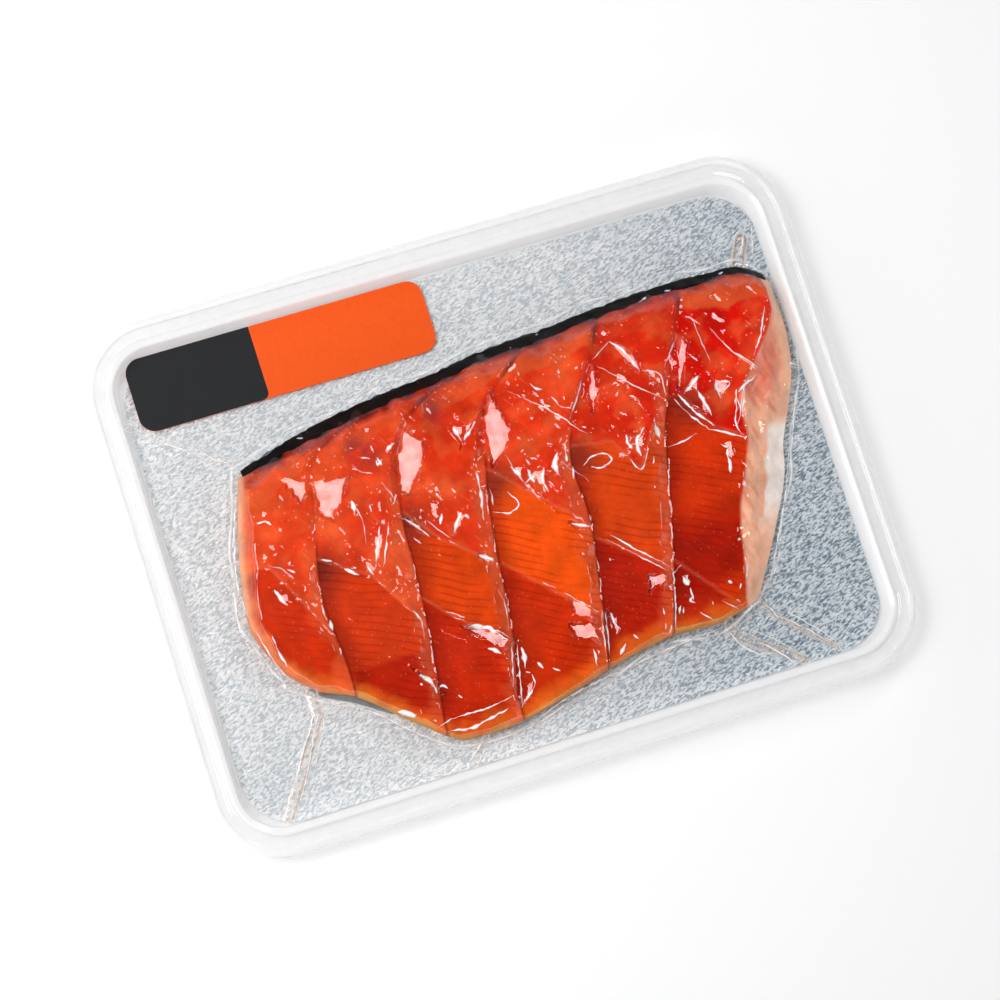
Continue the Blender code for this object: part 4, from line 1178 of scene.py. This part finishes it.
def cut_light_and_shade_layers(k, x, y, left, right):
    """Painted light beside a strip's cuts: a painted sheen on its pale right flank, and painted shade in the
    cuts, below its upper fold's start and in the notches.
    """
    layers = []
    if k < LAST_STRIP:
        shown = flank_mask(np.full(len(x), k), y)
        # Painted sheen where the right flank catches the light, and painted shade in the cut at its right.
        flank = smooth_step(x - (right - right_run(x, y)), -1.6, 1.6)
        layers += [("#EE6434", 0.5 * flank * shown),
                   ("#8A1206", 0.8 * shown * smooth_step(x - right, -0.5, 0))]
    if k:
        shown = flank_mask(np.full(len(x), k - 1), y)
        start_x, start_y = UPPER_FOLDS[k][0]
        # Painted shade in the cut at the strip's left and below the start of its upper fold.
        layers += [("#7A1006", 0.8 * shown * smooth_step(left - x, -0.6, 0)),
                   ("#7E2A20", 0.75 * near(x, y, ((start_x + 1, start_y - 3.5),), 5.0))]
    # Painted shade in the notches where the cuts reach the back edge.
    for n in range(1, LAST_STRIP + 1):
        notch_x, notch_y = notch(n)
        notch_shade_distance = line_distance(x, y, ((notch_x, notch_y - 2), (cut_x(n, notch_y - 10), notch_y - 10)))
        width = np.clip(1.8 - 0.16 * (notch_y - y), 0.3, 1.8)
        layers.append(("#5C2632", 0.8 * smooth_step(width - notch_shade_distance, -0.5, 0.7)))
    return layers


def tail_layers(x, y, tail, blot, face):
    """Colours of the tail's slanting face: pale pink, redder above, with long grain and a milk-white edge."""
    grain_lines = wave(2.6 * (x + 0.35 * y), 0.35 * y, 6, SEED + 35, 3)
    milk = smooth_step(6.0 + 0.8 * blot - tail, 0, 1) * smooth_step(y, -30, -18) * (1 - smooth_step(y, -4, 1))
    return [("#FFC09E", 0.95 * face),
            ("#E25A34", 0.45 * face * smooth_step(grain_lines, -0.2, 0.8) * smooth_step(tail, 2, 6)),
            ("#E04A30", 0.6 * face * smooth_step(y, 2, 11) * smooth_step(tail, 2, 7)),
            ("#F3C2A2", 0.8 * smooth_step(3.0 + 1.5 * blot - tail, 0, 3)),
            ("#FFF0E8", face * milk)]


def paint_strip(made, k):
    """Colour a strip by where it lies: orange slabs, redder upper side, pale cut faces, amber fringe, painted
    light and shade beside the cuts and painted highlights along the folds.
    """
    x, y = coordinates(made).T[:2]
    back, belly, head, tail = edge_depths(x, y)
    left = cut_x(k, y)
    right = cut_x(k + 1, y)
    blot = wave(x, y, 9.0, SEED + 31, 3)
    slab = slab_share(np.clip(x, left + 0.01, right - 0.01), y)
    face = smooth_step(curve(TAIL_FACE, y) - tail, -0.2, 0.8)
    facets = crumple(x, y, 6.5, SEED + 50)
    dome_edge = 8.5 + 3.0 * np.sin(math.pi * np.clip((x - left) / (right - left), 0, 1)) + 0.8 * blot
    low_y = line_y(LOWER_FOLDS[k], x) if LOWER_FOLDS[k] else np.full(x.shape, LOW_LINE)
    # Each layer is a colour and how much of it covers what lies below: first the flesh in broad areas.
    layers = [(UPPER_TONES[k], np.ones(len(x))),
              ("#E8602E", 0.5 * smooth_step(blot, -0.1, 0.8)),
              ("#F2743C", 0.35 * facets),
              ("#C01606", -0.4 * facets),
              ("#E25A2E", DOME_SHARES[k] * smooth_step(back, dome_edge + 0.4, dome_edge - 0.6)),
              (SLAB_TONES[k], slab),
              (LOW_TONES[k], 0.85 * smooth_step(low_y - y, -0.5, 1.5) * smooth_step(belly, 2, 6))]
    if k == LAST_STRIP:
        layers.append(("#A20C02", 0.8 * slab * smooth_step(-y, 12, 26) * smooth_step(belly, 6, 12)))
    # The shadow at the slab's left, and the belly's orange and amber fringe.
    layers += [("#961804", 0.6 * slab * smooth_step(left + 5.5 - x, 0, 5)),
               ("#E0641C", 0.8 * smooth_step(6.0 - belly + 1.5 * blot, 0, 5.0)),
               ("#DE9A3C", 0.8 * smooth_step(1.6 - belly + 0.6 * blot, 0, 1.6))]
    # Painted sheen on the flanks, painted shade in the cuts and notches.
    layers += cut_light_and_shade_layers(k, x, y, left, right)
    # The back turns dark red towards the skin and nearly black beside it, with dark purple places under the
    # back edge.
    shade = flesh_inset(x) + 1.0 + 1.2 * wave(x, y, 8, SEED + 33) - back
    layers += [("#5A2A3A", 0.6 * near(x, y, SMOKY, 3.2) * np.clip(0.9 + blot, 0, 1)),
               ("#A82014", 0.75 * smooth_step(shade, -4.2, 0.2)),
               ("#5E1012", 0.85 * smooth_step(shade, -1.6, 0.9)),
               ("#120608", smooth_step(shade, 0.5, 1.6))]
    if k == 0:
        layers += [("#EE7E40", 0.8 * smooth_step(4.0 - head + blot, 0, 3.5)),
                   ("#EFC4A0", 0.5 * smooth_step(1.8 - head, 0, 1.4) * smooth_step(y, -22, -4))]
    if k == LAST_STRIP:
        layers += tail_layers(x, y, tail, blot, face)
    # Painted highlight along the crests of the fold lines.
    folds = [points for points in UPPER_FOLDS + LOWER_FOLDS if points]
    crest_painted_highlight = np.max([np.exp(-(line_distance(x, y, points) / 0.3) ** 2) for points in folds], axis=0)
    layers.append(("#F08A68", 0.25 * crest_painted_highlight))
    tone = np.zeros((len(x), 3))
    for hex_code, amount in layers:
        tone = tone + np.clip(amount, 0, 1)[:, None] * (np.array(linear(hex_code)[:3]) - tone)
    tint = made.data.attributes.new("tone", "FLOAT_COLOR", "POINT")
    tint.data.foreach_set("color", np.column_stack([tone, np.ones(len(x))]).astype(np.float32).ravel())
    rib = slab * np.clip(0.9 * wave(x, y, 15, SEED + 8, 1) + 0.7, 0.2, 1) * smooth_step(belly, 1, 5)
    if k == LAST_STRIP:
        rib = rib * (1 - face)
    if k == 0:
        rib = rib * smooth_step(head, 4, 9)
    fat = (1 - slab) * smooth_step(wave(x, y, 12, SEED + 9), -0.3, 0.6) + 0.15
    point_attributes(made, rib=rib, fat=fat)


def make_strip(k, surface):
    """One strip of flesh."""
    made, column, row = grid_piece("salmon_strip_%d" % (k + 1), STRIP_COLUMNS, STRIP_ROWS)
    x, y = strip_plan(k, column / (STRIP_COLUMNS - 1), 1 - row / (STRIP_ROWS - 1))
    top = under_ceiling(add_flats(x, y, edged_height(x, y, FLESH_SHARE)))
    set_coordinates(made, x, y, BOARD_TOP + top)
    close_below(made, FLESH_BOTTOM)
    smooth(made)
    paint_strip(made, k)
    return dress(made, surface, "fish_flesh", "strip_%d" % (k + 1))


def make_skin():
    """The skin's ribbon up the fillet's back edge."""
    columns, rows = 360, 30
    made, column, row = grid_piece("black_skin", columns, rows)
    x = SKIN_FROM + (SKIN_TO - SKIN_FROM) * (column / (columns - 1))
    rim = 0.25 + 0.25 * wave(x, 0 * x, 5, SEED + 53)
    inward = rim + row / (rows - 1) * (flesh_inset(x) + SKIN_TUCK - rim)
    z = RIBBON_FOOT + RIBBON_SLOPE * inward + 0.2 * wave(x, inward, 9, SEED + 1) * np.clip(inward, 0, 1)
    outer = np.clip(1 - inward / 0.7, 0, 1)
    z = z * (1 - outer ** 3) + 0.35 * outer ** 3
    set_coordinates(made, x, curve(BACK_EDGE, x) - inward, BOARD_TOP + z)
    give_wall(made, SKIN_THICKNESS)
    smooth(made)
    return dress(made, skin_material(), "fish_skin", "skin")


def make_peeking_skin():
    """The skin's grey inner side, where it shows beside the belly under the film."""
    columns, rows = 80, 8
    made, column, row = grid_piece("grey_belly_skin", columns, rows)
    x = np.linspace(PEEK_FROM, PEEK_TO, columns)[column]
    share = row / (rows - 1)
    out = PEEK_WIDTH * np.sin(math.pi * np.clip((x - PEEK_FROM) / (PEEK_TO - PEEK_FROM), 0, 1)) ** 0.7
    y = curve(BELLY_EDGE, x) + PEEK_TUCK - (out + PEEK_TUCK) * (1 - share)
    set_coordinates(made, x, y, PEEK_HEIGHT + PEEK_ARCH * np.sin(math.pi * share))
    smooth(made, 180)
    return dress(made, inner_skin_material(), "fish_skin")


# ---------------------------------------------------------------- film and label

def bridge(height, cell):
    """Let a sheet span grooves too narrow for it, as if a ball rolled over it had closed them."""
    steps = int(BRIDGE_RADIUS / cell)
    offsets = [(i, j, math.sqrt(BRIDGE_RADIUS ** 2 - (i * i + j * j) * cell ** 2) - BRIDGE_RADIUS)
               for i in range(-steps, steps + 1) for j in range(-steps, steps + 1)
               if (i * i + j * j) * cell ** 2 < BRIDGE_RADIUS ** 2]
    raised = np.max([np.roll(height, (i, j), (0, 1)) + cap for i, j, cap in offsets], axis=0)
    return np.min([np.roll(raised, (i, j), (0, 1)) - cap for i, j, cap in offsets], axis=0)


def add_pleats(x, y, apart, z, floor):
    """Raise the pleats where spare film stands up from the board, and say how much painted white highlight
    and amber oil they carry.
    """
    milky = np.zeros(len(x))
    oily = np.zeros(len(x))
    outside = apart > -0.5
    for points, height, half_width, oil in PLEATS:
        line = line_distance(x, y, points)
        rise = height * np.clip(1 - (line / half_width) ** 2, 0, 1)
        z = np.where(outside, np.maximum(z, floor + rise), z)
        # Painted highlight: white lines along each pleat's edges, and a faint white across it.
        edge = 0.35 * np.exp(-((line - half_width) / 0.3) ** 2) + 0.12 * (line < half_width)
        milky = np.maximum(milky, edge * outside)
        oily = np.maximum(oily, oil * np.exp(-((line - 0.7 * half_width) / 0.22) ** 2) * outside)
    return z, milky, oily


def make_fish_film(surface):
    """The part of the film that is drawn tight over the fillet, and its foot on the board."""
    low_x, high_x, low_y, high_y = FISH_FILM
    columns_at = np.arange(low_x, high_x, FILM_FINE_CELL)
    rows_at = np.arange(low_y, high_y, FILM_FINE_CELL)
    shape = len(rows_at), len(columns_at)
    made, column, row = grid_piece("film_over_fish", len(columns_at), len(rows_at))
    x, y = columns_at[column], rows_at[row]
    apart = outline_distance(x, y)
    taut = bridge(edged_height(x, y, 1.0).reshape(shape), FILM_FINE_CELL)
    size, height = FILM_CRUMPLE
    zone = smooth_step(wave(x, y, 16, SEED + 61), -0.35, 0.3) * (1 - 0.9 * slab_share(x, y))
    loose = taut.ravel() + height * zone * crumple(x, y, size, SEED + 60)
    over = under_ceiling(add_flats(x, y, loose)) + BOARD_TOP + FILM_GAP
    reach = SKIRT * (1 + 0.3 * wave(x, y, 22, SEED + 40, 1))
    toe = FILM_FLOOR + TOE_HEIGHT * np.clip(1 - apart / reach, 0, 1) ** 2
    z = np.where(apart < 0, over, np.maximum(np.minimum(over, FILM_FLOOR + TOE_CLIMB), toe))
    z, milky, oily = add_pleats(x, y, apart, np.maximum(z, FILM_FLOOR + 0.03), FILM_FLOOR)
    # Painted highlight: a white line along the film's foot round the fillet.
    foot_painted_highlight = np.exp(-((apart - 0.8 * reach) / 0.3) ** 2) * (0.6 + 0.4 * wave(x, y, 9, SEED + 42))
    set_coordinates(made, x, y, z)
    point_attributes(made, milky=np.maximum(milky, np.clip(foot_painted_highlight, 0, 1)), oily=oily)
    delete_faces(made, face_distance(made) > FISH_MARGIN)
    smooth(made, 180)
    dress(made, surface, "clear_film", "film")
    return z.reshape(shape)


def film_height(heights, x, y):
    """Height of the film at any place: over the fillet from its grid of heights, level past it."""
    rows, columns = heights.shape
    across = np.clip((x - FISH_FILM[0]) / FILM_FINE_CELL, 0, columns - 1.01)
    along = np.clip((y - FISH_FILM[2]) / FILM_FINE_CELL, 0, rows - 1.01)
    i, j = np.floor(along).astype(int), np.floor(across).astype(int)
    f, g = along - i, across - j
    over = ((1 - f) * (1 - g) * heights[i, j] + (1 - f) * g * heights[i, j + 1]
            + f * (1 - g) * heights[i + 1, j] + f * g * heights[i + 1, j + 1])
    return np.where(outline_distance(x, y) < FISH_MARGIN - FILM_EDGE, over, FILM_FLOOR + PLEAT_LIFT)


def crease_line(points, steps):
    """Places and sideways directions along a smooth line through a crease's points."""
    points = np.array(points, float)
    run = np.concatenate([[0], np.cumsum(np.hypot(*np.diff(points, axis=0).T))])
    at = np.linspace(0, run[-1], steps)
    x, y = (curve(np.stack([run, places], 1), at) for places in points.T)
    x, y = x + 0.12 * wave(x, y, 3, SEED + 71), y + 0.12 * wave(x, y, 3, SEED + 72)
    ahead_x, ahead_y = np.gradient(x), np.gradient(y)
    length = np.hypot(ahead_x, ahead_y)
    return x, y, -ahead_y / length, ahead_x / length


def make_creases(surface, heights):
    """Thin creases that stand up on the film, pointed at both ends, painted white as painted highlights."""
    made_all = []
    for number, (width, points) in enumerate(CREASES + GLINTS + BOARD_CREASES):
        reach = sum(math.dist(a, b) for a, b in zip(points, points[1:]))
        steps = max(12, int(reach / CREASE_STEP))
        made, column, row = grid_piece("crease_%d" % number, steps, CREASE_ROWS)
        x, y, side_x, side_y = crease_line(points, steps)
        share = np.linspace(0, 1, steps)
        half = width / 2 * np.sin(math.pi * np.clip(share, 0.02, 0.98)) ** 0.6
        half = half * np.clip(0.7 + 0.7 * wave(x, y, 4, SEED + 73), 0.2, 1.2)
        aside = row / (CREASE_ROWS - 1) * 2 - 1
        px = x[column] + side_x[column] * half[column] * aside
        py = y[column] + side_y[column] * half[column] * aside
        lift = CREASE_HEIGHT * (1 - aside ** 2) + CREASE_GAP
        set_coordinates(made, px, py, film_height(heights, px, py) + lift)
        smooth(made, 180)
        # Painted highlight: each crease is painted white, most along its middle.
        point_attributes(made, milky=0.92 * (1 - 0.5 * aside ** 2), oily=np.zeros(len(px)))
        made_all.append(made)
    pick(made_all[0])
    for made in made_all:
        made.select_set(True)
    bpy.ops.object.join()
    return dress(name_active("film_creases"), surface, "clear_film")


def make_border_film(surface):
    """The rest of the film: flat on the board, up the tray's wall and over its flange."""
    inset = FOOT_INSET + FILM_WALL_GAP
    half_x, half_y = TRAY_LENGTH / 2 - inset, TRAY_WIDTH / 2 - inset
    wall_out, wall_height = zip(*FILM_WALL)
    out = np.array(wall_out[1:])
    columns_at, rows_at = (np.concatenate([
        -half - out[::-1], np.linspace(-half, half, round(2 * half / FILM_COARSE_CELL)), half + out])
        for half in (half_x, half_y))
    made, column, row = grid_piece("film_border", len(columns_at), len(rows_at))
    x, y = columns_at[column], rows_at[row]
    step = np.maximum(np.maximum(np.abs(x) - half_x, np.abs(y) - half_y), 0)
    ring = np.minimum(np.maximum(np.abs(x) / half_x, np.abs(y) / half_y), 1)
    corner = (TRAY_CORNER - inset) * ring ** RING_POWER + step
    x, y = round_off(x, y, half_x * ring + step, half_y * ring + step, corner)
    floor = np.interp(step, wall_out, wall_height)
    apart = np.where(step > 0, -9, outline_distance(x, y))
    z, milky, oily = add_pleats(x, y, apart, floor, floor)
    set_coordinates(made, x, y, z)
    point_attributes(made, milky=milky, oily=oily)
    delete_faces(made, face_distance(made) < FISH_MARGIN - FILM_OVERLAP)
    smooth(made, 180)
    return dress(made, surface, "clear_film", "film")


def make_plate(name, low_x, high_x, bottom, thickness, corners):
    """A thin plate over the label's width; corners gives the radius at each end and side that has one."""
    made = flat_plate(name, high_x - low_x, LABEL_WIDTH, (low_x + high_x) / 2, LABEL_Y, bottom)
    for (end, side), radius in corners.items():
        with editing(made):
            select_none("VERT")
        corner = Vector((end, LABEL_Y + side * LABEL_WIDTH / 2, bottom)) * MM
        min(made.data.vertices, key=lambda vert: (vert.co - corner).length).select = True
        with editing(made):
            bpy.ops.mesh.bevel(offset=radius * MM, segments=10, profile=0.5, affect="VERTICES")
    with editing(made):
        bpy.ops.mesh.select_all(action="SELECT")
        bpy.ops.mesh.extrude_region_move(TRANSFORM_OT_translate={"value": (0, 0, thickness * MM)})
        face_outwards()
    smooth(made)
    return made


def make_label():
    """The paper label, with its black printed field as a thin layer over the orange one."""
    low_x, high_x = LABEL_X - LABEL_LENGTH / 2, LABEL_X + LABEL_LENGTH / 2
    left_corners = {(low_x, -1): LABEL_CORNER, (low_x, 1): LABEL_CORNER}
    right_corners = {(high_x, -1): LABEL_CORNER, (high_x, 1): LABEL_CORNER}
    paper = make_plate("paper_label", low_x, high_x, LABEL_BOTTOM, LABEL_THICKNESS,
                       {**left_corners, **right_corners})
    dress(paper, print_material("orange printed paper", "#EE5400"), "label_paper", "label")
    field = make_plate("label_black_field", low_x, LABEL_DIVIDE, LABEL_BOTTOM + LABEL_THICKNESS,
                       INK_THICKNESS, {**left_corners, (LABEL_DIVIDE, -1): FIELD_CORNER})
    dress(field, print_material("black printed paper", "#222326"), "label_paper")


# ---------------------------------------------------------------- room

def make_floor():
    """A plain white floor under the pack."""
    deselect()
    bpy.ops.mesh.primitive_plane_add(size=FLOOR_SIZE * MM, location=(0, 0, -FLOOR_DROP * MM))
    floor = name_active("floor")
    # Matt white lacquer that glows a little, so that it shows as an even white ground with soft shadows.
    surface, tree = new_material("white table")
    show(tree, add_node(tree, "BsdfPrincipled", {
        "Base Color": (FLOOR_GREY, FLOOR_GREY, FLOOR_GREY, 1), "Roughness": 1.0, "Specular IOR Level": 0.0,
        "Emission Color": linear("#FFFFFF"), "Emission Strength": FLOOR_GLOW}))
    floor.data.materials.append(surface)


def make_camera():
    """The camera at the photograph's place."""
    turn = camera_turn()
    place = -(turn.transposed() @ Vector(CAMERA_SHIFT)) * MM
    data = bpy.data.cameras.new("camera")
    data.lens = CAMERA_LENS
    data.sensor_width = SENSOR_WIDTH
    camera = bpy.data.objects.new("camera", data)
    camera.matrix_world = Matrix.Translation(place) @ turn.transposed().to_4x4()
    bpy.context.scene.collection.objects.link(camera)
    bpy.context.scene.camera = camera


def make_light(name, azimuth, elevation, away, width, height, radiance):
    """A softbox seen from the pack at an azimuth from +X and an elevation, both in degrees."""
    data = bpy.data.lights.new(name, "AREA")
    data.shape = "RECTANGLE"
    data.size = width
    data.size_y = height
    data.energy = radiance * math.pi * width * height
    light = bpy.data.objects.new(name, data)
    place = direction(azimuth, elevation)
    light.location = place * away
    light.rotation_euler = place.to_track_quat("Z", "Y").to_euler()
    bpy.context.scene.collection.objects.link(light)
    return light


def make_world():
    """A white room with a dark ceiling, so that level film stays clear and steep folds shine."""
    world = bpy.data.worlds.new("room")
    bpy.context.scene.world = world
    world.use_nodes = True
    tree = world.node_tree
    tree.nodes.clear()
    tree.nodes.new("ShaderNodeOutputWorld")
    place = add_node(tree, "TexCoord", {}, "Generated")
    up = add_node(tree, "SeparateXYZ", {0: place}, "Z")
    strength = add_node(tree, "MapRange", {
        "Value": up, "From Min": BRIGHT_BELOW, "From Max": DARK_ABOVE, "To Min": ROOM_BRIGHT,
        "To Max": ROOM_DARK}, interpolation_type="SMOOTHSTEP")
    to_back = add_node(tree, "VectorMath", {0: place, 1: direction(BACK_AZIMUTH, 0)}, "Value",
                       operation="DOT_PRODUCT")
    share = add_node(tree, "MapRange", {
        "Value": to_back, "From Min": 0.0, "From Max": BACK_CLOSE, "To Min": 1.0, "To Max": BACK_SHARE},
        interpolation_type="SMOOTHSTEP")
    strength = add_node(tree, "Math", {0: strength, 1: share}, operation="MULTIPLY")
    show(tree, add_node(tree, "Background", {"Color": linear("#FFFFFF"), "Strength": strength}))


def main():
    """Make every piece, the room and the camera."""
    make_camera()
    make_floor()
    make_world()
    for name, softbox in (("left softbox", LEFT_SOFTBOX), ("back softbox", BACK_SOFTBOX),
                          ("right softbox", RIGHT_SOFTBOX)):
        make_light(name, *softbox)
    for name, fill in (("left fill", LEFT_FILL), ("top fill", TOP_FILL)):
        make_light(name, *fill).visible_glossy = False
    make_tray()
    make_board()
    make_skin()
    make_peeking_skin()
    flesh = flesh_material()
    for k in range(LAST_STRIP + 1):
        make_strip(k, flesh)
    film = film_material()
    make_creases(film, make_fish_film(film))
    make_border_film(film)
    make_label()
    scene = bpy.context.scene
    scene.view_settings.view_transform = "Standard"
    scene.view_settings.look = "None"
    # The camera looks through the film, its creases and both sides of the tray.
    scene.cycles.transparent_max_bounces = 24


main()
